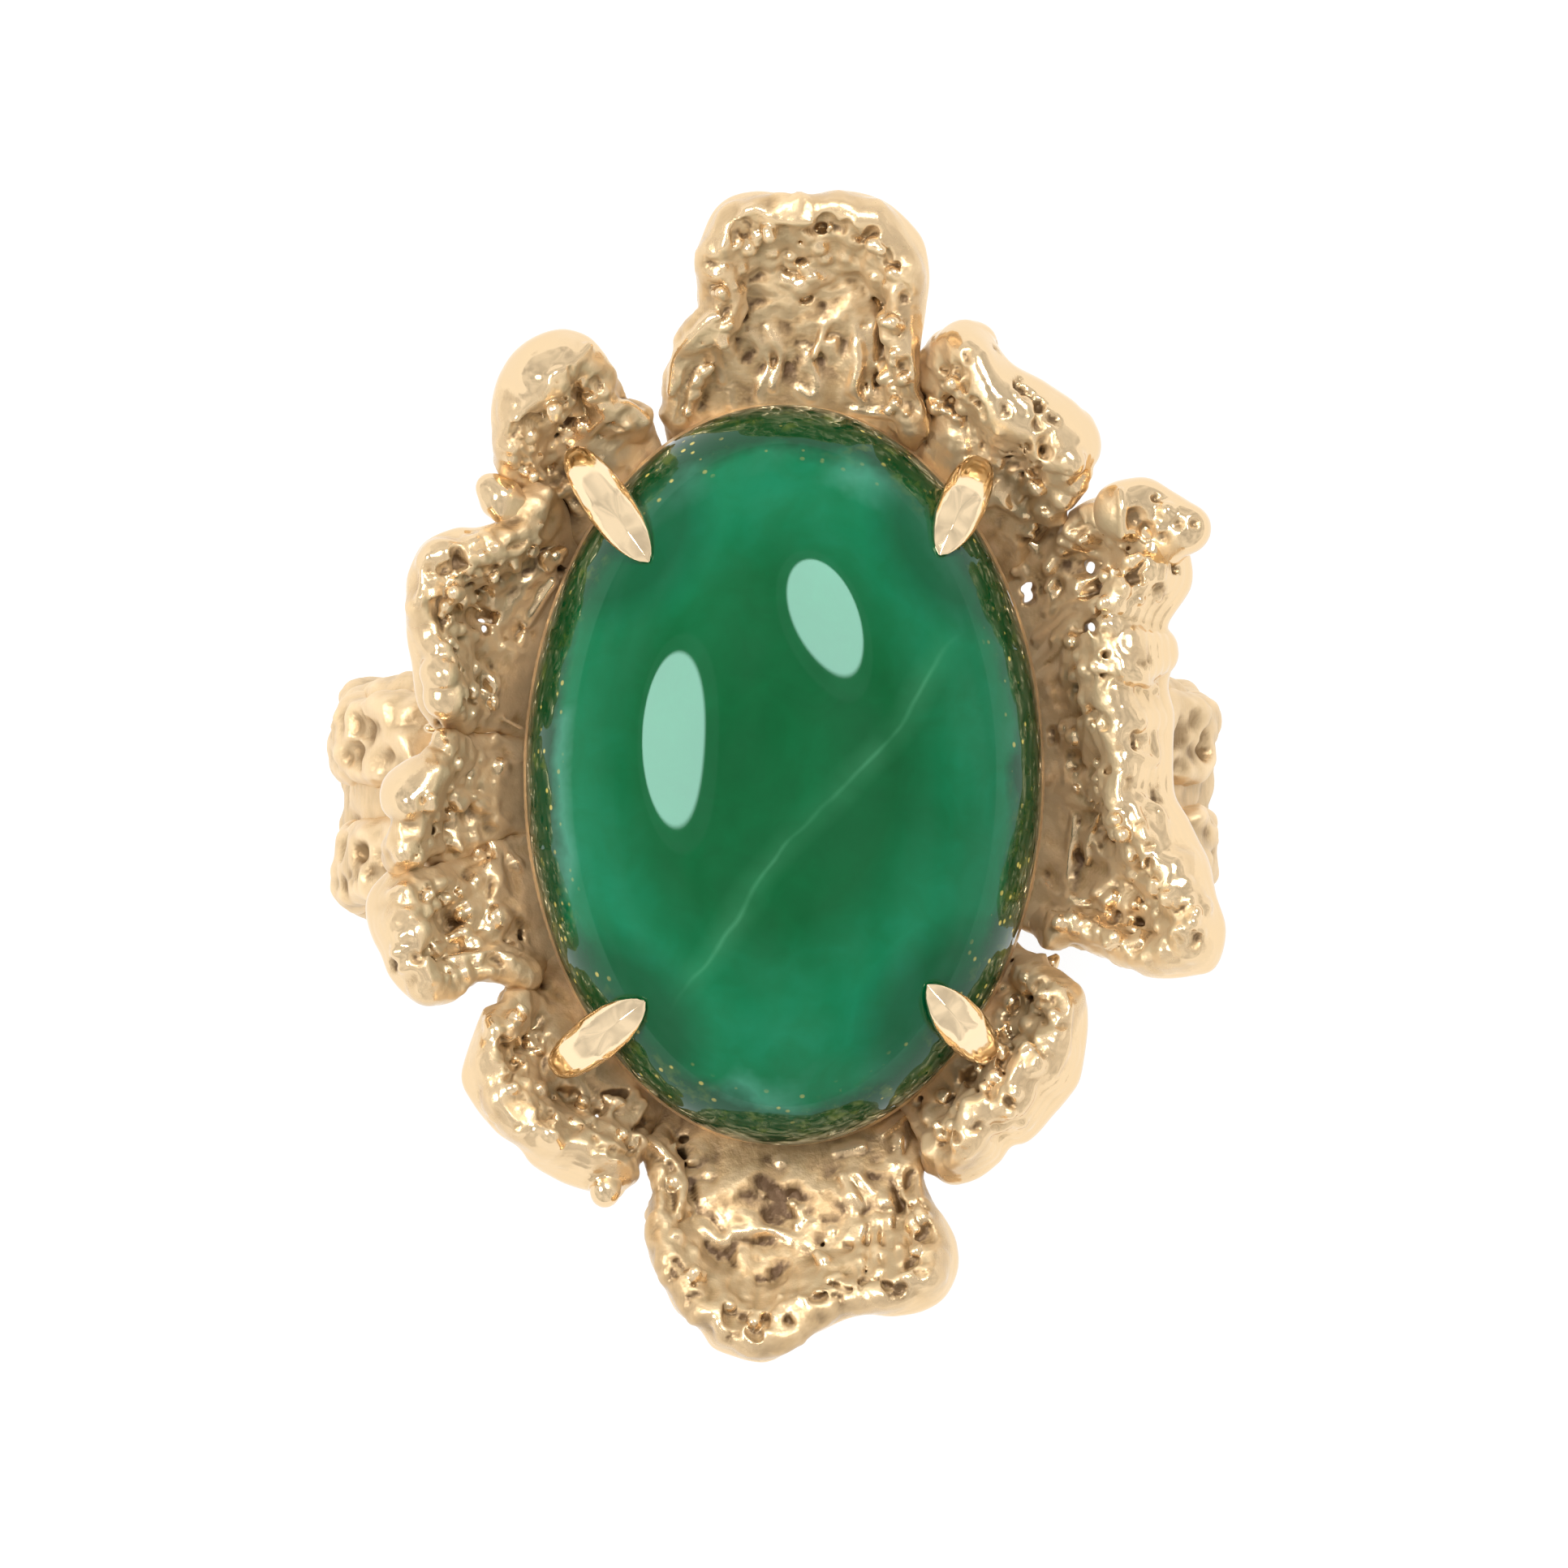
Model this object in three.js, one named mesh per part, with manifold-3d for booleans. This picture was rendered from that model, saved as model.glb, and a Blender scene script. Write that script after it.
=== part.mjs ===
// Freeform cocktail ring: an oval green cabochon held by four claws above an open gallery, set in a
// flared corolla of separately cast gold petals, on a nugget-textured band.
// Millimetres. The origin is the centre of the finger hole. +Y runs along the finger, +Z up through the stone.
import * as THREE from "three";
import { mergeVertices } from "three/addons/utils/BufferGeometryUtils.js";
import Module from "manifold-3d";

const wasm = await Module();
wasm.setup();

// ---- Driving dimensions ----
const BORE_R = 8.675; // finger hole, ring size 7
const STONE_HALF_WIDE = 6.27; // across the finger
const STONE_HALF_LONG = 9.0; // along the finger
const STONE_DOME = 4.6; // crown above the girdle
const STONE_BASE = 1.0; // depth below the girdle
const GIRDLE_Z = 14.3;
const SOLDER_GAP = 0.05; // hairline left between neighbouring castings

const BAND_TOP_WALL = 1.5; // under the gallery
const BAND_LEFT_WALL = 2.6;
const BAND_RIGHT_WALL = 2.1;
const BAND_FOOT_WALL = 1.9;
const BAND_SHOULDER_WIDE = 6.0;
const BAND_FOOT_WIDE = 4.0;
const BAND_SHOULDER_SHIFT = -0.6; // the shoulders sit a little to one side along the finger

const RAIL_R = 0.55; // round wire of the lower gallery rail
const SEAT_WIDE = 0.95; // flat strip of the upper rail, which the stone sits on
const SEAT_HIGH = 0.8;
const CLAW_WIDE = 1.17;
const CLAW_THICK = 0.8;

const SEAT_Z = GIRDLE_Z - STONE_BASE - SOLDER_GAP - SEAT_HIGH / 2;
const BASE_RAIL = { x: 4.7, y: 6.6 }; // half axes of the lower rail's centre line
const ROOTS = { x: BASE_RAIL.x + RAIL_R + SOLDER_GAP, y: BASE_RAIL.y + RAIL_R + SOLDER_GAP };
const SADDLE_R = BORE_R + BAND_TOP_WALL + RAIL_R + 2 * SOLDER_GAP; // the lower rail follows the band

const GOLD = "#d2aa6e";
const GREEN = "#0c7a45";

// ---- Geometry helpers ----

// Keeps only a geometry's merged positions and moves each vertex to where place() says.
function reshape(geometry, place) {
  geometry.deleteAttribute("normal");
  geometry.deleteAttribute("uv");
  const merged = mergeVertices(geometry);
  const at = merged.attributes.position;
  const vertex = new THREE.Vector3();
  for (let i = 0; i < at.count; i++) {
    const moved = place(vertex.fromBufferAttribute(at, i));
    at.setXYZ(i, moved.x, moved.y, moved.z);
  }
  return merged;
}

function solidOf(geometry) {
  const mesh = new wasm.Mesh({
    numProp: 3,
    vertProperties: new Float32Array(geometry.attributes.position.array),
    triVerts: new Uint32Array(geometry.index.array),
  });
  const solid = new wasm.Manifold(mesh);
  if (solid.volume() > 0) return solid;
  for (let i = 0; i < mesh.triVerts.length; i += 3) {
    const second = mesh.triVerts[i + 1];
    mesh.triVerts[i + 1] = mesh.triVerts[i + 2];
    mesh.triVerts[i + 2] = second;
  }
  return new wasm.Manifold(mesh);
}

function geometryOf(solid) {
  const mesh = solid.getMesh();
  const geometry = new THREE.BufferGeometry();
  geometry.setAttribute("position", new THREE.BufferAttribute(mesh.vertProperties, 3));
  geometry.setIndex(new THREE.BufferAttribute(mesh.triVerts, 1));
  return geometry;
}

// The same solid with every vertex moved out along its normal.
function grown(solid, by) {
  const geometry = geometryOf(solid);
  geometry.computeVertexNormals();
  const { position, normal } = geometry.attributes;
  for (let i = 0; i < position.count; i++) {
    position.setXYZ(
      i,
      position.getX(i) + by * normal.getX(i),
      position.getY(i) + by * normal.getY(i),
      position.getZ(i) + by * normal.getZ(i),
    );
  }
  return solidOf(geometry);
}

// A closed hoop: place(turn, around) gives the point at each angle of the hoop and of its section.
function hoop(steps, sides, place) {
  const torus = new THREE.TorusGeometry(2, 1, sides, steps);
  return reshape(torus, ({ x, y, z }) => place(Math.atan2(y, x), Math.atan2(z, Math.hypot(x, y) - 2)));
}

const signedPower = (value, power) => Math.sign(value) * Math.abs(value) ** power;
const saddleZ = (x) => Math.sqrt(SADDLE_R ** 2 - x ** 2);

// ---- Stone and gallery ----

function stone() {
  const profile = [new THREE.Vector2(0, -STONE_BASE), new THREE.Vector2(0.93, -STONE_BASE)];
  const domePower = 2 / 2.2; // a little fuller than a half ellipse
  const domeSteps = 12;
  for (let i = 0; i <= domeSteps; i++) {
    const angle = (i / domeSteps) * (Math.PI / 2);
    const radius = i === domeSteps ? 0 : Math.cos(angle) ** domePower;
    profile.push(new THREE.Vector2(radius, STONE_DOME * Math.sin(angle) ** domePower));
  }
  const lathe = new THREE.LatheGeometry(profile, 44);
  return reshape(lathe, ({ x, y, z }) =>
    new THREE.Vector3(x * STONE_HALF_WIDE, z * STONE_HALF_LONG, GIRDLE_Z + y),
  );
}

// The flat oval strip under the stone's edge, a hair wider than the stone.
function seatRail() {
  const overhang = 0.13;
  const midX = STONE_HALF_WIDE + overhang - SEAT_WIDE / 2;
  const midY = STONE_HALF_LONG + overhang - SEAT_WIDE / 2;
  return hoop(48, 8, (turn, around) => {
    const across = (SEAT_WIDE / 2) * signedPower(Math.cos(around), 0.6);
    const up = (SEAT_HIGH / 2) * signedPower(Math.sin(around), 0.6);
    return new THREE.Vector3(
      (midX + across) * Math.cos(turn),
      (midY + across) * Math.sin(turn),
      SEAT_Z + up,
    );
  });
}

// The lower oval wire, bent over the band like a saddle.
function baseRail() {
  return hoop(44, 8, (turn, around) => {
    const across = RAIL_R * Math.cos(around);
    const x = (BASE_RAIL.x + across) * Math.cos(turn);
    const y = (BASE_RAIL.y + across) * Math.sin(turn);
    return new THREE.Vector3(x, y, saddleZ(BASE_RAIL.x * Math.cos(turn)) + RAIL_R * Math.sin(around));
  });
}

// The crown's height over a point of the plan, 0 outside the girdle.
function domeZ(x, y) {
  const inside = 1 - Math.hypot(x / STONE_HALF_WIDE, y / STONE_HALF_LONG) ** 2.2;
  return GIRDLE_Z + (inside > 0 ? STONE_DOME * inside ** (1 / 2.2) : 0);
}

// A claw rises from the lower rail to its shoulder, bends over the girdle and ends in a point on the crown.
const CLAWS = {
  claw_upper_left: { shoulder: [-5.15, 7.75], tip: [-3.25, 5.13] },
  claw_upper_right: { shoulder: [4.75, 7.55], tip: [3.75, 5.3] },
  claw_lower_left: { shoulder: [-5.5, -7.1], tip: [-3.35, -5.45] },
  claw_lower_right: { shoulder: [4.95, -6.8], tip: [3.45, -5.05] },
};

function claw({ shoulder, tip }) {
  const [sx, sy] = shoulder;
  const [tx, ty] = tip;
  const footScale = 1 / Math.hypot(sx / (ROOTS.x + 0.42), sy / (ROOTS.y + 0.42));
  const lift = CLAW_THICK * 0.5 + SOLDER_GAP;
  const between = (share) => [sx + (tx - sx) * share, sy + (ty - sy) * share];
  const overStone = (share, extra) => {
    const [x, y] = between(share);
    return new THREE.Vector3(x, y, domeZ(x, y) + extra);
  };
  const path = new THREE.CatmullRomCurve3([
    new THREE.Vector3(sx * footScale, sy * footScale, saddleZ(sx * footScale) + 0.2),
    new THREE.Vector3(sx * 0.93, sy * 0.93, 12.3),
    new THREE.Vector3(sx * 0.985, sy * 0.985, GIRDLE_Z - 0.5),
    new THREE.Vector3(...between(0.18), GIRDLE_Z + 0.75),
    overStone(0.62, lift + 0.45),
    overStone(1, lift * 0.55),
  ]);
  const side = new THREE.Vector3(ty - sy, sx - tx, 0).normalize();
  const rod = new THREE.CylinderGeometry(1, 1, 1, 8, 12);
  return reshape(rod, ({ x, y, z }) => {
    const along = y + 0.5;
    const taper = along < 0.55 ? 0.8 + 0.2 * (along / 0.55) : 1 - 0.8 * ((along - 0.55) / 0.45) ** 1.6;
    const tangent = path.getTangent(along);
    const outward = new THREE.Vector3().crossVectors(side, tangent);
    return path
      .getPoint(along)
      .addScaledVector(side, (x * taper * CLAW_WIDE) / 2)
      .addScaledVector(outward, (z * (0.4 + 0.6 * taper) * CLAW_THICK) / 2);
  });
}

// ---- Petals ----

// Each petal's rim is its outer edge, from one side round to the other.
const PETALS = {
  petal_top: [
    [-3.0, 8.95, 12.9], [-2.75, 10.3, 13.7], [-1.95, 11.45, 14.4], [-2.05, 12.75, 14.9], [-1.5, 13.9, 15.2],
    [0.0, 14.15, 15.3], [1.5, 14.1, 15.2], [2.9, 13.4, 15.0], [3.5, 12.3, 14.8], [3.4, 10.4, 14.3],
    [3.4, 8.6, 13.4],
  ],
  petal_upper_right: [
    [3.5, 9.7, 13.4], [3.9, 10.85, 14.2], [4.7, 11.05, 14.7], [5.6, 10.3, 15.0], [6.7, 9.2, 15.0],
    [7.5, 8.4, 14.7], [7.4, 7.2, 14.2], [6.9, 6.3, 13.4],
  ],
  petal_right: [
    [6.9, 5.8, 12.9], [7.6, 6.9, 13.8], [8.8, 6.9, 14.2], [10.0, 6.4, 14.4], [9.9, 5.0, 14.5],
    [9.75, 3.9, 14.6], [9.6, 2.6, 14.4], [9.55, 0.6, 14.3], [9.6, -1.2, 14.4], [10.1, -2.6, 14.7],
    [10.6, -3.7, 14.8], [10.2, -4.7, 14.6], [8.7, -4.9, 14.1], [7.4, -4.2, 13.3],
  ],
  petal_lower_right: [
    [6.1, -4.95, 13.0], [7.2, -5.4, 13.9], [7.35, -6.9, 14.5], [6.7, -8.3, 14.7], [5.5, -9.3, 14.6],
    [4.6, -9.95, 14.3], [3.6, -9.75, 13.4],
  ],
  petal_bottom: [
    [3.3, -9.6, 12.9], [4.1, -11.0, 13.9], [4.2, -12.3, 14.6], [3.3, -13.1, 14.9], [1.6, -13.25, 15.0],
    [0.3, -14.0, 15.2], [-1.0, -14.25, 15.2], [-2.2, -13.3, 15.0], [-3.2, -11.8, 14.5], [-3.2, -10.4, 13.7],
    [-3.2, -9.4, 12.9],
  ],
  petal_lower_left: [
    [-3.5, -9.5, 13.0], [-4.4, -10.35, 13.9], [-5.5, -9.85, 14.5], [-6.7, -8.9, 14.8], [-7.7, -7.8, 14.7],
    [-7.6, -6.6, 14.3], [-6.9, -5.6, 13.3],
  ],
  petal_left_lower: [
    [-6.7, -5.0, 12.8], [-7.7, -5.1, 13.6], [-8.7, -5.6, 14.3], [-9.6, -4.8, 14.6], [-10.0, -3.3, 14.5],
    [-9.7, -2.4, 14.0],
  ],
  petal_left_middle: [
    [-9.4, -2.1, 13.7], [-9.75, -1.3, 14.2], [-9.75, -0.4, 14.3], [-9.2, 0.35, 14.0], [-8.3, 0.6, 13.2],
  ],
  petal_left_upper: [
    [-8.0, 1.1, 13.2], [-8.9, 1.6, 13.9], [-9.15, 2.8, 14.4], [-9.1, 4.6, 14.7], [-8.6, 5.8, 14.6],
    [-7.3, 6.3, 13.7], [-6.6, 6.6, 13.2],
  ],
  petal_upper_left: [
    [-6.3, 7.0, 13.2], [-7.1, 7.9, 14.2], [-6.9, 9.6, 14.9], [-5.9, 10.7, 15.0], [-4.8, 10.7, 14.8],
    [-4.2, 9.8, 14.3], [-3.5, 8.8, 13.4],
  ],
};

const RIM_THICK = 0.95;
const HEAVY_RIM_THICK = {
  petal_upper_right: 1.4, petal_right: 1.55, petal_lower_right: 1.5, petal_lower_left: 1.3,
  petal_left_lower: 1.2, petal_left_middle: 1.15, petal_left_upper: 1.15, petal_upper_left: 1.25,
};
const ROOT_THICK = 0.5;
const LIP_RISE = 0.3; // how far the rim's rounded top stands up
const HEAVY_LEAN = 1.5; // how much a heavy rim's thickness leans towards its root

// The wall climbs steeply from its root, lies back under the stone's edge, then climbs to the rim.
const WALL_SHAPE = [[0, 0], [0.2, 0.4], [0.5, 0.53], [0.8, 0.65], [1, 1]];

function wallRise(height) {
  const after = Math.max(1, WALL_SHAPE.findIndex(([share]) => share >= height));
  const [from, low] = WALL_SHAPE[after - 1];
  const [to, high] = WALL_SHAPE[after];
  return low + ((high - low) * (height - from)) / (to - from);
}

// A petal is a bowed wall from its root on the lower rail out to its rounded rim.
function petal(rimPoints, rimThick) {
  const rim = new THREE.CatmullRomCurve3(rimPoints.map((point) => new THREE.Vector3(...point)));
  const rootTurn = ([x, y]) => Math.atan2(y / ROOTS.y, x / ROOTS.x);
  const first = rootTurn(rimPoints[0]);
  let sweep = rootTurn(rimPoints.at(-1)) - first;
  if (Math.abs(sweep) > Math.PI) sweep -= Math.sign(sweep) * 2 * Math.PI;
  const middle = first + sweep / 2;
  const box = new THREE.BoxGeometry(1, 1, 1, Math.max(6, rimPoints.length + 1), 5, 2);
  return reshape(box, ({ x, y, z }) => {
    const share = x + 0.5;
    const height = y + 0.5;
    const inward = z + 0.5;
    const rimPoint = rim.getPoint(share);
    const tangent = rim.getTangent(share);
    const turn = middle + x * sweep;
    const rimInward = new THREE.Vector3(-tangent.y, tangent.x, 0).normalize();
    if (sweep < 0) rimInward.negate();
    if (rimThick > RIM_THICK) {
      const below = new THREE.Vector3(ROOTS.x * Math.cos(turn), ROOTS.y * Math.sin(turn), rimPoint.z);
      rimInward.addScaledVector(below.sub(rimPoint).normalize(), HEAVY_LEAN).normalize();
    }
    rimPoint.addScaledVector(rimInward, inward * rimThick);
    rimPoint.z += height === 1 ? LIP_RISE * Math.sin(Math.PI * inward) : 0;
    const rootOut = (1 - inward) * ROOT_THICK;
    const root = new THREE.Vector3(
      (ROOTS.x + rootOut) * Math.cos(turn),
      (ROOTS.y + rootOut) * Math.sin(turn),
      saddleZ(ROOTS.x * Math.cos(turn)) + 0.1 - 0.35 * (1 - inward),
    );
    const rise = wallRise(height);
    return new THREE.Vector3(
      root.x + (rimPoint.x - root.x) * height,
      root.y + (rimPoint.y - root.y) * height,
      root.z + (rimPoint.z - root.z) * rise,
    );
  });
}

// ---- Granules and band ----

// A rounded nugget with shallow facets, tilted about the finger's direction.
function nugget(centre, [rx, ry, rz], tilt = 0) {
  const ball = reshape(new THREE.IcosahedronGeometry(1, 2), ({ x, y, z }) => {
    const swell = 1 + 0.07 * Math.sin(3.1 * x + 2 * y) + 0.06 * Math.cos(2.7 * y - 3 * z);
    return new THREE.Vector3(rx * swell * x, ry * swell * y, rz * swell * z);
  });
  return ball.rotateY(tilt).translate(...centre);
}

// A nugget lying on the band: turn is its angle round the finger from +X, at the band's outer radius.
function bandNugget(turn, along, wall, [high, wide, long]) {
  const radius = BORE_R + wall + 0.1;
  return nugget([radius * Math.cos(turn), along, radius * Math.sin(turn)], [high, wide, long], -turn);
}

// Two or more nuggets melted into one.
function cluster(lobes) {
  const [first, ...others] = lobes.map(([centre, radii]) => solidOf(nugget(centre, radii)));
  return geometryOf(others.reduce((whole, lobe) => whole.add(lobe), first));
}

// Smooth blend of the four walls of the band round the finger: right, top, left, foot.
function bandBlend(turn, right, top, left, foot) {
  const side = Math.cos(turn);
  const up = Math.sin(turn);
  const sideValue = side > 0 ? right : left;
  const upValue = up > 0 ? top : foot;
  return sideValue * side * side + upValue * up * up;
}

function band() {
  const innerCrown = 0.3; // comfort curve of the inside edges
  return hoop(60, 12, (turn, around) => {
    const lumps = 0.14 * Math.sin(7 * turn + 0.6) + 0.1 * Math.sin(11 * turn + 2 * Math.cos(around));
    const wall = bandBlend(turn, BAND_RIGHT_WALL, BAND_TOP_WALL, BAND_LEFT_WALL, BAND_FOOT_WALL);
    const outer = wall + (Math.sin(turn) > 0.75 ? 0 : lumps);
    const wide = bandBlend(
      turn, BAND_SHOULDER_WIDE, BAND_SHOULDER_WIDE + 0.5, BAND_SHOULDER_WIDE, BAND_FOOT_WIDE,
    );
    const shift = BAND_SHOULDER_SHIFT * Math.cos(turn) ** 2;
    const out = Math.cos(around);
    const depth =
      out > 0 ? innerCrown + (outer - innerCrown) * out ** 0.7 : innerCrown * (1 + signedPower(out, 0.5));
    const radius = BORE_R + depth;
    const across = shift + (wide / 2) * signedPower(Math.sin(around), 0.65);
    return new THREE.Vector3(radius * Math.cos(turn), across, radius * Math.sin(turn));
  });
}

// ---- Assembly ----

const group = new THREE.Group();
const placed = [];

// Adds a piece, cut back by a hairline from every piece already there.
function place(name, geometry, { color = GOLD, roughness = 0.28, metalness = 1 } = {}) {
  let solid = solidOf(geometry);
  for (const other of placed) solid = solid.subtract(other);
  const pieces = solid.decompose().sort((a, b) => b.volume() - a.volume());
  const kept = pieces[0].simplify(0.004);
  const mesh = new THREE.Mesh(
    geometryOf(kept),
    new THREE.MeshStandardMaterial({ color, roughness, metalness }),
  );
  mesh.name = name;
  group.add(mesh);
  placed.push(grown(kept, SOLDER_GAP));
}

place("stone", stone(), { color: GREEN, roughness: 0.12, metalness: 0 });
place("seat_rail", seatRail());
place("shank", band(), { roughness: 0.38 });
place("base_rail", baseRail());
for (const [name, line] of Object.entries(CLAWS)) place(name, claw(line), { roughness: 0.18 });
for (const [name, rim] of Object.entries(PETALS)) place(name, petal(rim, HEAVY_RIM_THICK[name] ?? RIM_THICK));

place("knob_right", cluster([
  [[8.0, 6.5, 14.55], [0.8, 0.7, 0.65]],
  [[9.0, 6.35, 14.65], [0.85, 0.65, 0.6]],
  [[9.8, 6.0, 14.75], [0.65, 0.75, 0.65]],
]));
place("knob_left", nugget([-6.95, 6.8, 13.85], [0.62, 0.55, 0.6]));

const SHOULDER_TURN = 0.42; // radians up from the horizontal
const leftTurn = Math.PI - SHOULDER_TURN;
place("shoulder_nugget_left_upper", bandNugget(leftTurn, 0.9, BAND_LEFT_WALL, [0.75, 1.5, 2.4]));
place("shoulder_nugget_left_lower", bandNugget(leftTurn, -2.2, BAND_LEFT_WALL, [0.7, 1.3, 2.2]));
place("shoulder_nugget_right_upper", bandNugget(SHOULDER_TURN, 0.9, BAND_RIGHT_WALL, [0.75, 1.4, 2.3]));
place("shoulder_nugget_right_lower", bandNugget(SHOULDER_TURN, -1.95, BAND_RIGHT_WALL, [0.7, 1.2, 2.4]));

export default group;
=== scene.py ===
"""Looks of the freeform cocktail ring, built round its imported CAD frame.

The rough-cast gold is sculpted as clay: a block of signed distances that strokes, sheets and beads of
metal are melted into, then skinned with a mesh. The claws, rails and stone are swept meshes.
Lengths are millimetres until a mesh is made. +Z is up through the stone and +Y runs along the finger.
"""

import math

import bmesh
import bpy
import numpy as np
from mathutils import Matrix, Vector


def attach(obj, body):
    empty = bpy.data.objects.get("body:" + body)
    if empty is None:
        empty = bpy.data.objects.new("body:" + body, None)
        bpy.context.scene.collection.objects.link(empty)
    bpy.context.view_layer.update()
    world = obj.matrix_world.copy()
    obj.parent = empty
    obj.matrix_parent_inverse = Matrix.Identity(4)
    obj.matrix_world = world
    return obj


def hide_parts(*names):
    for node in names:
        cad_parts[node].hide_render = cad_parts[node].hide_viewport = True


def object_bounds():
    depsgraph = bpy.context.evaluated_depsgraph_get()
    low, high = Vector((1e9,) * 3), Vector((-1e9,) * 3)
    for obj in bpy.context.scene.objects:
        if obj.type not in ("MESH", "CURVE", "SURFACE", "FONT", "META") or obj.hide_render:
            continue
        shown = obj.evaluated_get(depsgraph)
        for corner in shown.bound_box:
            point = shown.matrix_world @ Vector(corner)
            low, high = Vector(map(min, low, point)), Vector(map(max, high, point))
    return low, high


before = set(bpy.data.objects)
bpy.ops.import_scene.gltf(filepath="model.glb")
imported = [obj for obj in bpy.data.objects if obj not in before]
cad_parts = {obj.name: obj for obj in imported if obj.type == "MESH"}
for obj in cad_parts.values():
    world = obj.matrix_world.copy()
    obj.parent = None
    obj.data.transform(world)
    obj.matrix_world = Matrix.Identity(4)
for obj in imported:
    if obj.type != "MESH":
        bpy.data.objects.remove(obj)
cad_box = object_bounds()

MM = 0.001

# ---- Sizes shared with the CAD frame ----
BORE_R = 8.675
GIRDLE_Z = 14.3
STONE_HALF = (6.27, 9.0)
STONE_DOME = 4.6
DOME_FULLNESS = 2.2
STONE_BASE = 1.0
BASE_RAIL = (4.7, 6.6)
ROOTS = (5.3, 7.2)
SADDLE_R = 10.825
BAND_THICK = {"right": 2.1, "top": 1.5, "left": 2.6, "foot": 1.9}
BAND_WIDE = {"right": 6.0, "top": 6.5, "left": 6.0, "foot": 4.0}


# ---- Paths ----

def smooth_path(points, count):
    """A Catmull-Rom curve through rows of numbers, sampled count times."""
    points = np.asarray(points, float)
    last = len(points) - 1
    at = np.linspace(0, last, count)
    index = np.minimum(at.astype(int), last - 1)
    part = (at - index)[:, None]
    padded = np.vstack([2 * points[0] - points[1], points, 2 * points[-1] - points[-2]])
    a, b, c, d = (padded[index + step] for step in range(4))
    return 0.5 * (2 * b + (c - a) * part + (2 * a - 5 * b + 4 * c - d) * part**2
                  + (3 * b - a - 3 * c + d) * part**3)


def saddle_z(x):
    """Height of the lower rail over the band."""
    return np.sqrt(SADDLE_R**2 - np.asarray(x) ** 2)


# ---- Clay ----

VOXEL = 0.055
FAR = 0.8
# The spline lies well inside its knots, so they reach past 1 for noise of about -1 to 1.
KNOT_HEIGHT = 1.65


def knots_to_grid(knots, count):
    """Weights of a cubic spline that spreads evenly spaced knots over count grid places."""
    at = np.linspace(0, knots - 3.001, count)
    index = at.astype(int)
    part = at - index
    weights = np.zeros((count, knots))
    for step, share in enumerate(((1 - part) ** 3, 3 * part**3 - 6 * part**2 + 4,
                                  3 * (part + part**2 - part**3) + 1, part**3)):
        weights[np.arange(count), index + step] = share / 6
    return weights


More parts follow.
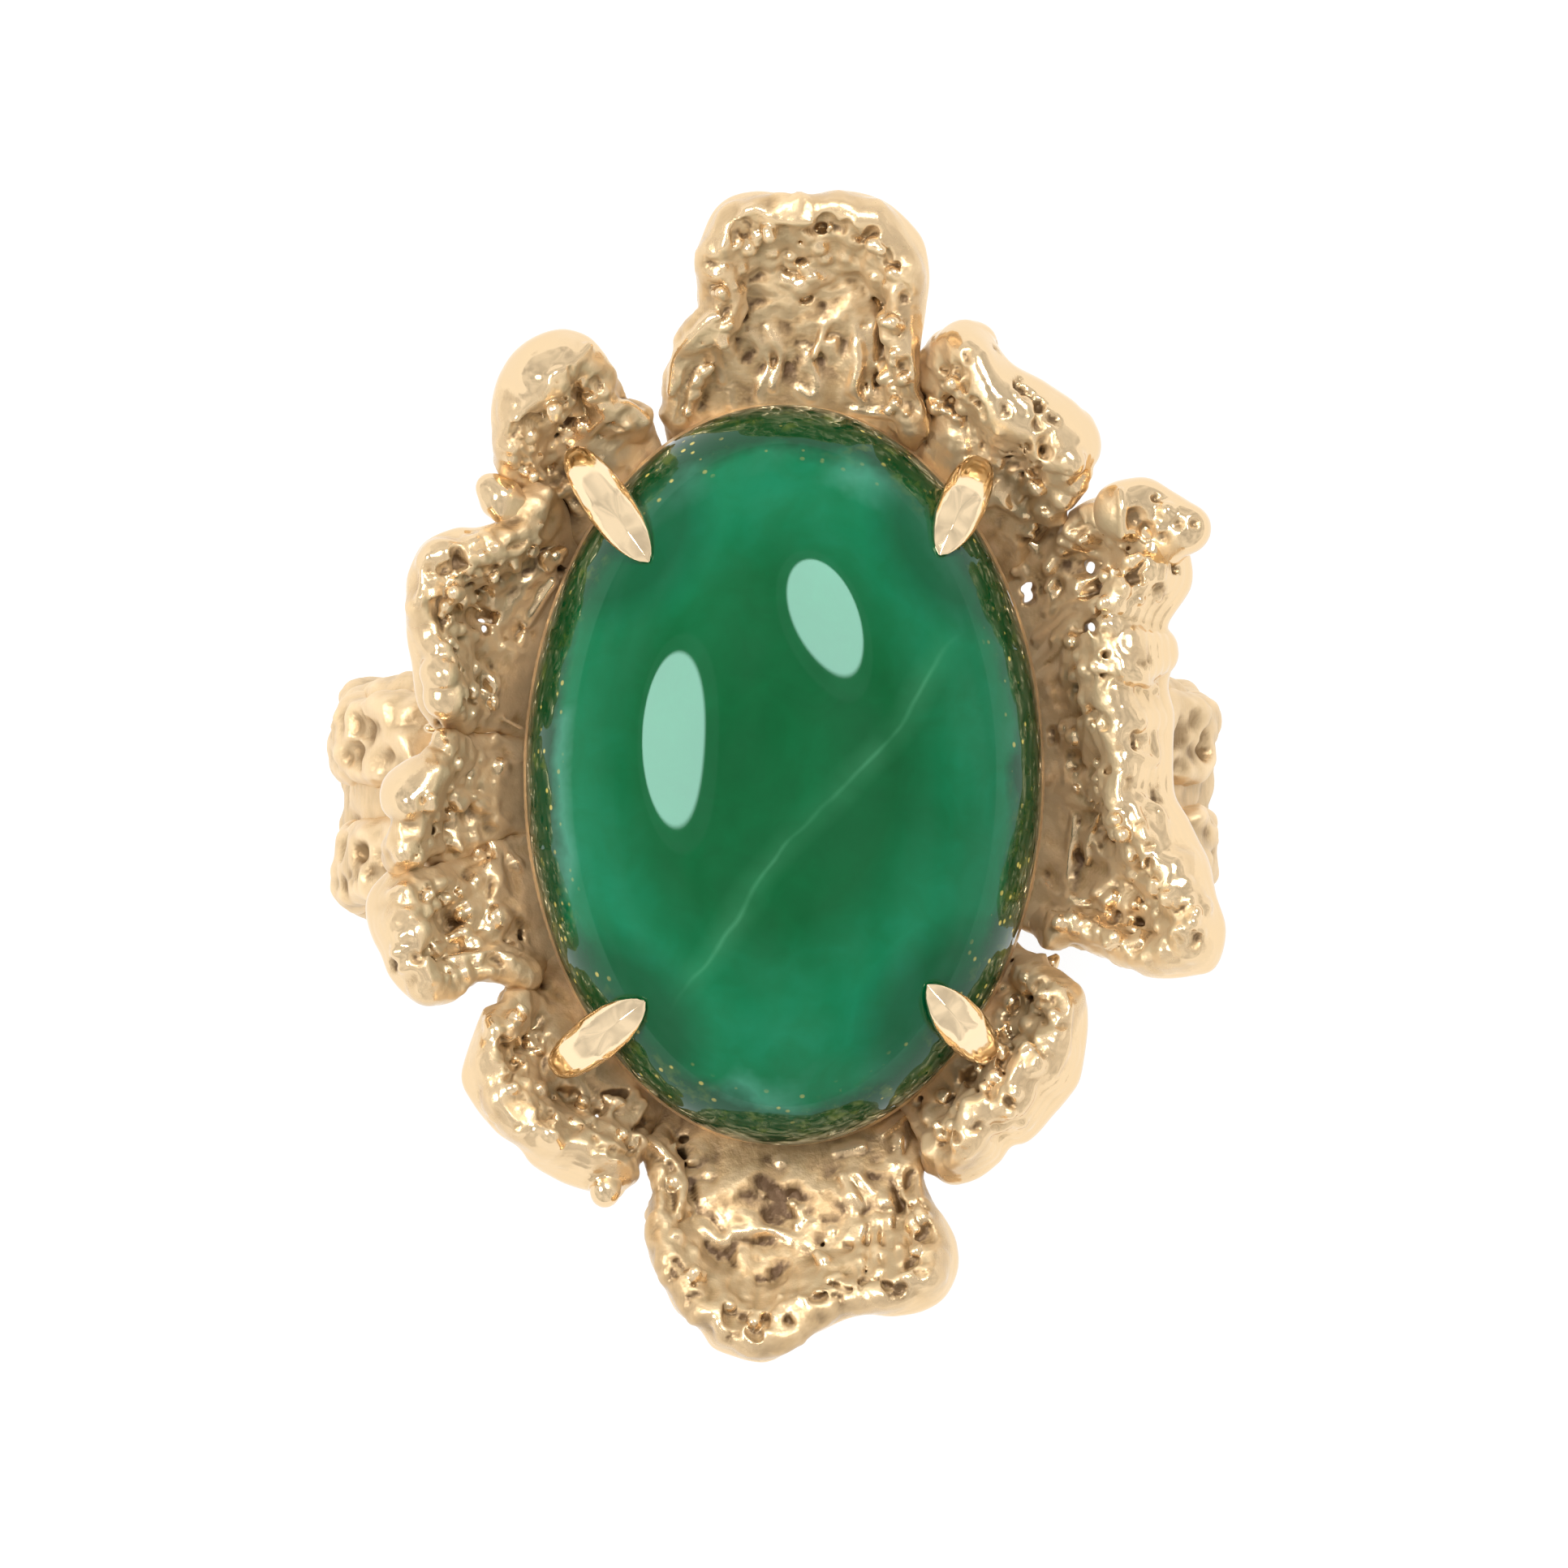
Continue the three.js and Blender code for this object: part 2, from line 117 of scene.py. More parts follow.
class Clay:
    """A block of signed distances, negative inside the metal, with how polished each place is."""

    def __init__(self, low, high, step=VOXEL):
        self.step = step
        self.low = np.asarray(low, float)
        counts = np.ceil((np.asarray(high) - self.low) / step).astype(int) + 1
        self.axes = [self.low[i] + step * np.arange(counts[i]) for i in range(3)]
        self.depth = np.full(counts, FAR, np.float32)
        self.shine = np.zeros(counts, np.float32)
        x, y = self.axes[0][:, None, None], self.axes[1][None, :, None]
        past_stone = np.hypot(x / STONE_HALF[0], y / STONE_HALF[1])
        self.lively = np.clip((past_stone - 1.02) / 0.1, 0.3, 1).astype(np.float32)

    def window(self, low, high):
        """The part of the grid that a box covers."""
        shape = self.depth.shape
        start = np.clip(np.floor((low - self.low) / self.step).astype(int), 0, shape)
        stop = np.clip(np.ceil((high - self.low) / self.step).astype(int) + 1, 0, shape)
        return tuple(slice(a, b) for a, b in zip(start, stop))

    def balls(self, centres, radii, blend, shine=0.0, cut=False):
        """Melts a chain or sheet of balls in as one shape, or cuts it out."""
        centres = np.asarray(centres, float).reshape(-1, 3)
        radii = np.broadcast_to(np.asarray(radii, float), len(centres))
        margin = blend + 2 * self.step
        reach = radii.max() + margin
        box = self.window(centres.min(0) - reach, centres.max(0) + reach)
        old = self.depth[box]
        if old.size == 0:
            return
        shape = np.full(old.shape, FAR, np.float32)
        xs, ys, zs = (axis[part] for axis, part in zip(self.axes, box))
        for (x, y, z), radius in zip(centres, radii):
            near = radius + margin
            i, j, k = (slice(*np.searchsorted(line, (at - near, at + near)))
                       for line, at in ((xs, x), (ys, y), (zs, z)))
            away = np.sqrt((xs[i, None, None] - x) ** 2 + (ys[None, j, None] - y) ** 2
                           + (zs[None, None, k] - z) ** 2) - radius
            np.minimum(shape[i, j, k], away, out=shape[i, j, k])
        if cut:
            share = np.clip(0.5 - 0.5 * (old + shape) / blend, 0, 1)
            self.depth[box] = old + (-shape - old) * share + blend * share * (1 - share)
        else:
            share = np.clip(0.5 + 0.5 * (old - shape) / blend, 0, 1)
            self.depth[box] = old + (shape - old) * share - blend * share * (1 - share)
        self.shine[box] += (shine - self.shine[box]) * share

    def stroke(self, points, blend=0.15, shine=0.0, cut=False):
        """A rounded stroke through rows of x, y, z, radius."""
        points = np.asarray(points, float)
        length = np.linalg.norm(np.diff(points[:, :3], axis=0), axis=1).sum()
        count = max(2, int(length / (0.3 * points[:, 3].mean())) + 1)
        path = smooth_path(points, count)
        self.balls(path[:, :3], np.maximum(path[:, 3], 0.02), blend, shine, cut)

    def top(self, x, y):
        """Height of the highest metal over a place in plan."""
        i, j = (int(np.clip(round((at - self.low[axis]) / self.step), 0, self.depth.shape[axis] - 1))
                for axis, at in enumerate((x, y)))
        metal = np.flatnonzero(self.depth[i, j] < 0)
        highest = metal[-1] if len(metal) else self.depth.shape[2] // 2
        return self.low[2] + self.step * highest

    def resting(self, x, y, lift):
        """A point over a place in plan, that far above the highest metal there."""
        return (x, y, self.top(x, y) + lift)

    def grain(self, size, seed):
        """Smooth noise from -1 to 1 with lumps of about that size."""
        shape = self.depth.shape
        knots = [max(5, int(count * self.step / size) + 4) for count in shape]
        noise = np.random.default_rng(seed).uniform(-KNOT_HEIGHT, KNOT_HEIGHT, knots).astype(np.float32)
        for axis in range(3):
            weights = knots_to_grid(knots[axis], shape[axis]).astype(np.float32)
            noise = np.moveaxis(np.tensordot(weights, noise, (1, axis)), 0, axis)
        return noise

    def roughen(self, sizes, seed, polished=0.15, creased=False, scale=1.0):
        """Displaces the surface by noise of several sizes, less where it is polished."""
        strength = self.lively * (1 - (1 - polished) * self.shine)
        for turn, (size, height) in enumerate(sizes):
            noise = self.grain(size, seed + turn)
            if creased:
                noise = 3 * np.abs(noise) - 0.9
            self.depth += height * scale * strength * noise

    def hollow(self, radius):
        """How far each place lies in a hollow (positive) or on a crest (negative)."""
        width = max(1, int(radius / self.step))
        blurred = np.clip(self.depth, -2 * radius, 2 * radius)
        for axis in range(3):
            padded = np.concatenate([np.repeat(blurred.take([0], axis), width + 1, axis), blurred,
                                     np.repeat(blurred.take([-1], axis), width, axis)], axis)
            total = np.cumsum(padded, axis=axis, dtype=np.float64)
            count = blurred.shape[axis]
            span = 2 * width + 1
            high = total.take(np.arange(span, span + count), axis)
            low = total.take(np.arange(count), axis)
            blurred = ((high - low) / span).astype(np.float32)
        return -(blurred - np.clip(self.depth, -2 * radius, 2 * radius)) / radius


CORNERS = np.array([(i, j, k) for i in (0, 1) for j in (0, 1) for k in (0, 1)])
EDGES = [(a, b) for a in range(8) for b in range(a + 1, 8) if np.abs(CORNERS[a] - CORNERS[b]).sum() == 1]


def skin(clay):
    """Corners and quads of the surface where the distance is zero."""
    inside = clay.depth < 0
    counts = np.array(inside.shape) - 1
    full = np.zeros(counts, np.int8)
    for i, j, k in CORNERS:
        full += inside[i:i + counts[0], j:j + counts[1], k:k + counts[2]]
    active = (full > 0) & (full < 8)
    cells = np.argwhere(active)
    number = np.full(active.shape, -1, np.int64)
    number[active] = np.arange(len(cells))
    values = np.stack([clay.depth[tuple((cells + corner).T)] for corner in CORNERS], axis=1)
    total = np.zeros((len(cells), 3))
    hits = np.zeros(len(cells))
    for a, b in EDGES:
        crosses = (values[:, a] < 0) != (values[:, b] < 0)
        share = np.where(crosses, values[:, a] / np.where(crosses, values[:, a] - values[:, b], 1), 0)
        total += np.where(crosses[:, None], CORNERS[a] + share[:, None] * (CORNERS[b] - CORNERS[a]), 0)
        hits += crosses
    points = clay.low + clay.step * (cells + total / hits[:, None])
    quads = []
    for axis in range(3):
        side, up = (axis + 1) % 3, (axis + 2) % 3
        low = np.take(inside, np.arange(counts[axis]), axis)
        high = np.take(inside, np.arange(1, counts[axis] + 1), axis)
        edges = np.argwhere(low != high)
        edges = edges[(edges[:, side] > 0) & (edges[:, up] > 0)
                      & (edges[:, side] < counts[side]) & (edges[:, up] < counts[up])]
        outward = low[tuple(edges.T)]
        ring = []
        for back_side, back_up in ((1, 1), (0, 1), (0, 0), (1, 0)):
            cell = edges.copy()
            cell[:, side] -= back_side
            cell[:, up] -= back_up
            ring.append(number[tuple(cell.T)])
        ring = np.stack(ring, axis=1)
        quads.append(np.where(outward[:, None], ring, ring[:, ::-1]))
    return points, np.concatenate(quads)


def largest_island(points, quads):
    """Drops crumbs that aren't joined to the main body."""
    label = np.arange(len(points))
    while True:
        lowest = label[quads].min(axis=1)
        before = label.copy()
        for corner in range(4):
            np.minimum.at(label, quads[:, corner], lowest)
        label = label[label]
        if (label == before).all():
            break
    main = np.bincount(label).argmax()
    keep = label == main
    renumber = np.cumsum(keep) - 1
    return points[keep], renumber[quads[keep[quads[:, 0]]]]


def relax(points, quads):
    """Evens out the stair steps of the grid."""
    a = quads.reshape(-1)
    b = np.roll(quads, -1, axis=1).reshape(-1)
    degree = np.bincount(a, minlength=len(points)) + np.bincount(b, minlength=len(points))
    for _ in range(2):
        total = [np.bincount(a, line[b], len(points)) + np.bincount(b, line[a], len(points))
                 for line in points.T]
        middle = np.stack(total, axis=1) / degree[:, None]
        points = points + 0.5 * (middle - points)
    return points


# ---- Meshes ----

def new_object(name, points, faces, material):
    mesh = bpy.data.meshes.new(name)
    mesh.from_pydata((np.asarray(points) * MM).tolist(), [], [tuple(map(int, face)) for face in faces])
    mesh.polygons.foreach_set("use_smooth", [True] * len(mesh.polygons))
    mesh.materials.append(material)
    mesh.update()
    piece = bpy.data.objects.new(name, mesh)
    bpy.context.scene.collection.objects.link(piece)
    return piece


HOLLOW_REACH = 0.3


def cast(clay, name, material, painted_shade=0.0):
    """Turns clay into an object that carries how polished each place is, and a hollow value that paints
    shade into hollows and light onto crests.
    """
    points, quads = largest_island(*skin(clay))
    points = relax(points, quads)
    piece = new_object(name, points, quads, material)
    place = tuple(np.clip(np.rint((points - clay.low) / clay.step).astype(int), 0,
                          np.array(clay.depth.shape) - 1).T)
    normals = np.empty(3 * len(points), np.float32)
    piece.data.vertex_normals.foreach_get("vector", normals)
    normals = normals.reshape(-1, 3)
    to_stone = -points[:, :2] / np.square(STONE_HALF)
    to_stone /= np.linalg.norm(to_stone, axis=1)[:, None] + 0.001
    # Walls that face the stone are matt, and painted lighter as painted light where they stand in shade;
    # level floors are painted darker.
    turned_in = np.clip((np.sum(normals[:, :2] * to_stone, axis=1) - 0.15) / 0.35, 0, 1)
    flat_up = np.clip((normals[:, 2] - 0.7) / 0.25, 0, 1)
    shine = clay.shine[place] * (1 - 0.9 * turned_in)
    hollow = clay.hollow(HOLLOW_REACH)[place] + painted_shade + 0.12 * flat_up - 0.45 * turned_in
    for label, values in (("hollow", hollow), ("shine", shine)):
        layer = piece.data.attributes.new(label, "FLOAT", "POINT")
        layer.data.foreach_set("value", values.astype(np.float32))
    return piece


def install(piece, nodes):
    """Hands a piece of the looks to the frame."""
    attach(piece, "root")
    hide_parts(*nodes)


def tube_faces(rings, sides):
    """Quads between rings of points, and a cap on each end."""
    faces = []
    for i in range(rings - 1):
        for j in range(sides):
            side = (j + 1) % sides
            faces.append((i * sides + j, i * sides + side, (i + 1) * sides + side, (i + 1) * sides + j))
    return faces + [range(sides)[::-1], range((rings - 1) * sides, rings * sides)]


# ---- Materials ----

class Nodes:
    """A short way to wire a node tree."""

    def __init__(self, tree):
        self.tree = tree
        tree.nodes.clear()

    def add(self, kind, inputs=None, **settings):
        node = self.tree.nodes.new(kind)
        for key, value in settings.items():
            setattr(node, key, value)
        for key, value in (inputs or {}).items():
            if isinstance(value, bpy.types.NodeSocket):
                self.tree.links.new(value, node.inputs[key])
            else:
                node.inputs[key].default_value = value
        return node

    def math(self, operation, *values, clamp=False):
        inputs = dict(enumerate(values))
        return self.add("ShaderNodeMath", inputs, operation=operation, use_clamp=clamp).outputs[0]

    def plus(self, a, b, clamp=False):
        return self.math("ADD", a, b, clamp=clamp)

    def minus(self, a, b, clamp=False):
        return self.math("SUBTRACT", a, b, clamp=clamp)

    def times(self, a, b):
        return self.math("MULTIPLY", a, b)

    def over(self, a, b):
        return self.math("DIVIDE", a, b)

    def length(self, a, b):
        return self.math("SQRT", self.plus(self.times(a, a), self.times(b, b)))

    def ramp(self, value, stops):
        node = self.add("ShaderNodeValToRGB", {"Fac": value})
        ramp = node.color_ramp
        while len(ramp.elements) < len(stops):
            ramp.elements.new(0.5)
        for element, (place, colour) in zip(ramp.elements, stops):
            element.position = place
            element.color = (*colour, 1)
        return node.outputs["Color"]

    def scale(self, value, low, high, low_to=0.0, high_to=1.0):
        inputs = {"Value": value, "From Min": low, "From Max": high, "To Min": low_to, "To Max": high_to}
        return self.add("ShaderNodeMapRange", inputs, clamp=True).outputs["Result"]

    def mix(self, share, first, second):
        if isinstance(second, tuple):
            second = (*second, 1)
        return self.add("ShaderNodeMix", {0: share, 6: first, 7: second}, data_type="RGBA").outputs[2]

    def noise(self, vector, scale, detail=2.0, roughness=0.5, distortion=0.0):
        inputs = {"Vector": vector, "Scale": scale, "Detail": detail, "Roughness": roughness,
                  "Distortion": distortion}
        return self.add("ShaderNodeTexNoise", inputs).outputs["Fac"]


def srgb(*levels):
    """Linear colour from levels of 0 to 255."""
    return tuple((level / 255 / 12.92) if level <= 10 else ((level / 255 + 0.055) / 1.055) ** 2.4
                 for level in levels)


# Polished gold darkens to the shaded gold, and satin from light to shaded, as painted shade in hollows and
# painted light on crests.
GOLD_BRIGHT = srgb(234, 206, 165)
GOLD_SHADED = srgb(208, 176, 130)
GOLD_PALE = srgb(250, 224, 184)
SATIN_LIGHT = srgb(218, 190, 148)
SATIN_MIDDLE = srgb(182, 151, 108)
SATIN_SHADED = srgb(76, 52, 24)


def gold(name, rough_low, rough_high, grain_height, bright=GOLD_BRIGHT,
         satin=(SATIN_LIGHT, SATIN_MIDDLE, SATIN_SHADED)):
    """Cast gold: smoother and brighter on polished crests, satin in hollows, with painted shade deepening
    the colour in hollows and painted light lifting it on crests.
    """
    material = bpy.data.materials.new(name)
    material.use_nodes = True
    n = Nodes(material.node_tree)
    place = n.add("ShaderNodeTexCoord").outputs["Object"]
    hollow = n.add("ShaderNodeAttribute", attribute_name="hollow").outputs["Fac"]
    shine = n.add("ShaderNodeAttribute", attribute_name="shine").outputs["Fac"]
    blotch = n.noise(place, 700, 3)
    fine = n.noise(place, 4200, 3, 0.6)
    # The hollow value paints shade into hollows and light onto crests; the blotches are a random tone in
    # the metal.
    shade_and_tone = n.plus(hollow, n.times(n.minus(blotch, 0.5), 0.35))
    dull = n.minus(1.0, shine, clamp=True)
    deep = n.scale(shade_and_tone, -0.35, 0.4)
    polished = n.ramp(deep, [(0.0, bright), (0.5, bright), (1.0, GOLD_SHADED)])
    colour = n.mix(dull, polished, n.ramp(deep, list(zip((0.0, 0.4, 0.85), satin))))
    rough = n.plus(n.times(dull, rough_high - rough_low), rough_low)
    rough = n.plus(rough, n.times(n.minus(fine, 0.5), 0.12), clamp=True)
    strength = n.plus(n.times(dull, 0.7), 0.06)
    bump = n.add("ShaderNodeBump", {"Strength": strength, "Distance": grain_height, "Height": fine})
    metal = n.minus(1.0, n.times(dull, 0.5))
    shader = n.add("ShaderNodeBsdfPrincipled", {
        "Base Color": colour, "Metallic": metal, "Roughness": rough, "Normal": bump.outputs["Normal"]})
    out = n.add("ShaderNodeOutputMaterial")
    n.tree.links.new(shader.outputs[0], out.inputs[0])
    return material


def cabochon_green():
    """Milky emerald green with a darker middle and lighter sides painted as reflections, a pale vein,
    painted shade by the claw tips and golden flecks at the edge.
    """
    material = bpy.data.materials.new("cabochon_green")
    material.use_nodes = True
    n = Nodes(material.node_tree)
    place = n.add("ShaderNodeTexCoord").outputs["Object"]
    parts = n.add("ShaderNodeSeparateXYZ", {"Vector": place})
    x = n.over(parts.outputs["X"], STONE_HALF[0] * MM)
    y = n.over(parts.outputs["Y"], STONE_HALF[1] * MM)
    edge = n.length(x, y)
    clouds = n.noise(place, 230, 5, 0.55, 0.3)
    wisps = n.noise(place, 900, 4, 0.6, 1.0)
    tone = n.plus(n.times(clouds, 0.75), n.times(wisps, 0.25))
    deep = n.ramp(n.scale(tone, 0.3, 0.7),
                  [(0.0, srgb(0, 64, 26)), (0.5, srgb(0, 74, 34)), (1.0, srgb(0, 84, 44))])
    milky_and_reflected = n.ramp(n.scale(tone, 0.3, 0.7),
                   [(0.0, srgb(0, 80, 40)), (0.5, srgb(0, 94, 56)), (1.0, srgb(8, 107, 74))])
    # The darker oval a little up and left of the middle is a painted reflection of a dark ceiling, and the
    # lighter milky green round it partly a painted reflection of the bright tent round that.
    reflection_oval_x = n.over(n.plus(parts.outputs["X"], 0.0004), 0.0042)
    reflection_oval_y = n.over(n.minus(parts.outputs["Y"], 0.0006), 0.0056)
    body = n.mix(n.scale(n.length(reflection_oval_x, reflection_oval_y), 0.75, 1.1), deep, milky_and_reflected)
    wander = n.times(n.minus(n.noise(place, 260, 3, 0.4), 0.5), 0.0012)
    # The vein runs from upper right to lower left, across the middle of the dome.
    along_x, along_y = 0.780, -0.626
    from_line = n.plus(n.times(parts.outputs["X"], along_x),
                       n.times(parts.outputs["Y"], along_y))
    off_vein = n.math("ABSOLUTE", n.plus(n.minus(from_line, 0.00125), wander))
    vein = n.plus(n.times(n.scale(off_vein, 0.0, 0.00008, 1.0, 0.0), 0.1),
                  n.times(n.scale(off_vein, 0.0, 0.0005, 1.0, 0.0), 0.07))
    vein = n.times(vein, n.scale(n.noise(place, 700, 2), 0.3, 0.6, 0.3, 1.0))
    body = n.mix(n.times(vein, n.scale(edge, 0.8, 0.6)), body, srgb(110, 190, 145))
    ragged = n.plus(edge, n.times(n.minus(n.noise(place, 420, 4, 0.6), 0.5), 0.22))
    cloud = n.times(n.scale(ragged, 0.8, 0.87), n.scale(n.noise(place, 260, 1), 0.52, 0.62))
    body = n.mix(n.times(cloud, 0.6), body, srgb(70, 132, 110))
    body = n.mix(n.times(n.scale(ragged, 0.86, 0.92), 0.92), body, srgb(0, 50, 18))
    # Darker patches by the four claw tips are painted shade and painted reflection of the claws.
    for tip_x, tip_y in ((-4.1, 6.0), (4.5, 5.9), (-4.3, -6.2), (4.2, -6.0)):
        tip = n.add("ShaderNodeVectorMath", {0: place, 1: (tip_x * MM, tip_y * MM, (GIRDLE_Z + 2.5) * MM)},
                    operation="DISTANCE").outputs["Value"]
        body = n.mix(n.times(n.scale(tip, 0.0028, 0.0018), 0.7), body, srgb(0, 58, 24))
    body = n.mix(n.scale(edge, 0.965, 1.0, 0.0, 0.75), body, srgb(0, 36, 16))
    flecks = n.add("ShaderNodeTexVoronoi", {"Vector": place, "Scale": 2600.0}).outputs["Distance"]
    fleck = n.times(n.scale(flecks, 0.2, 0.12), n.scale(edge, 0.84, 0.92))
    fleck = n.times(fleck, n.scale(n.noise(place, 500, 2), 0.46, 0.56))
    smear = n.times(n.scale(n.noise(place, 1500, 3, 0.6), 0.56, 0.68), n.scale(edge, 0.86, 0.94))
    body = n.mix(n.times(smear, 0.25), body, srgb(120, 130, 50))
    body = n.mix(n.times(fleck, 0.8), body, srgb(208, 186, 96))
    shader = n.add("ShaderNodeBsdfPrincipled", {
        "Base Color": body, "Roughness": 0.03, "IOR": 1.436, "Specular Tint": (0.6, 1.0, 0.88, 1.0)})
    out = n.add("ShaderNodeOutputMaterial")
    n.tree.links.new(shader.outputs[0], out.inputs[0])
    return material


CAST_GOLD = gold("cast_gold", 0.11, 0.46, 0.00004)
BAND_GOLD = gold("band_gold", 0.26, 0.5, 0.00005,
                 satin=(srgb(242, 216, 176), srgb(214, 186, 144), srgb(120, 92, 56)))
POLISHED_GOLD = gold("polished_gold", 0.1, 0.2, 0.00001, bright=GOLD_PALE)
STONE_GREEN = cabochon_green()
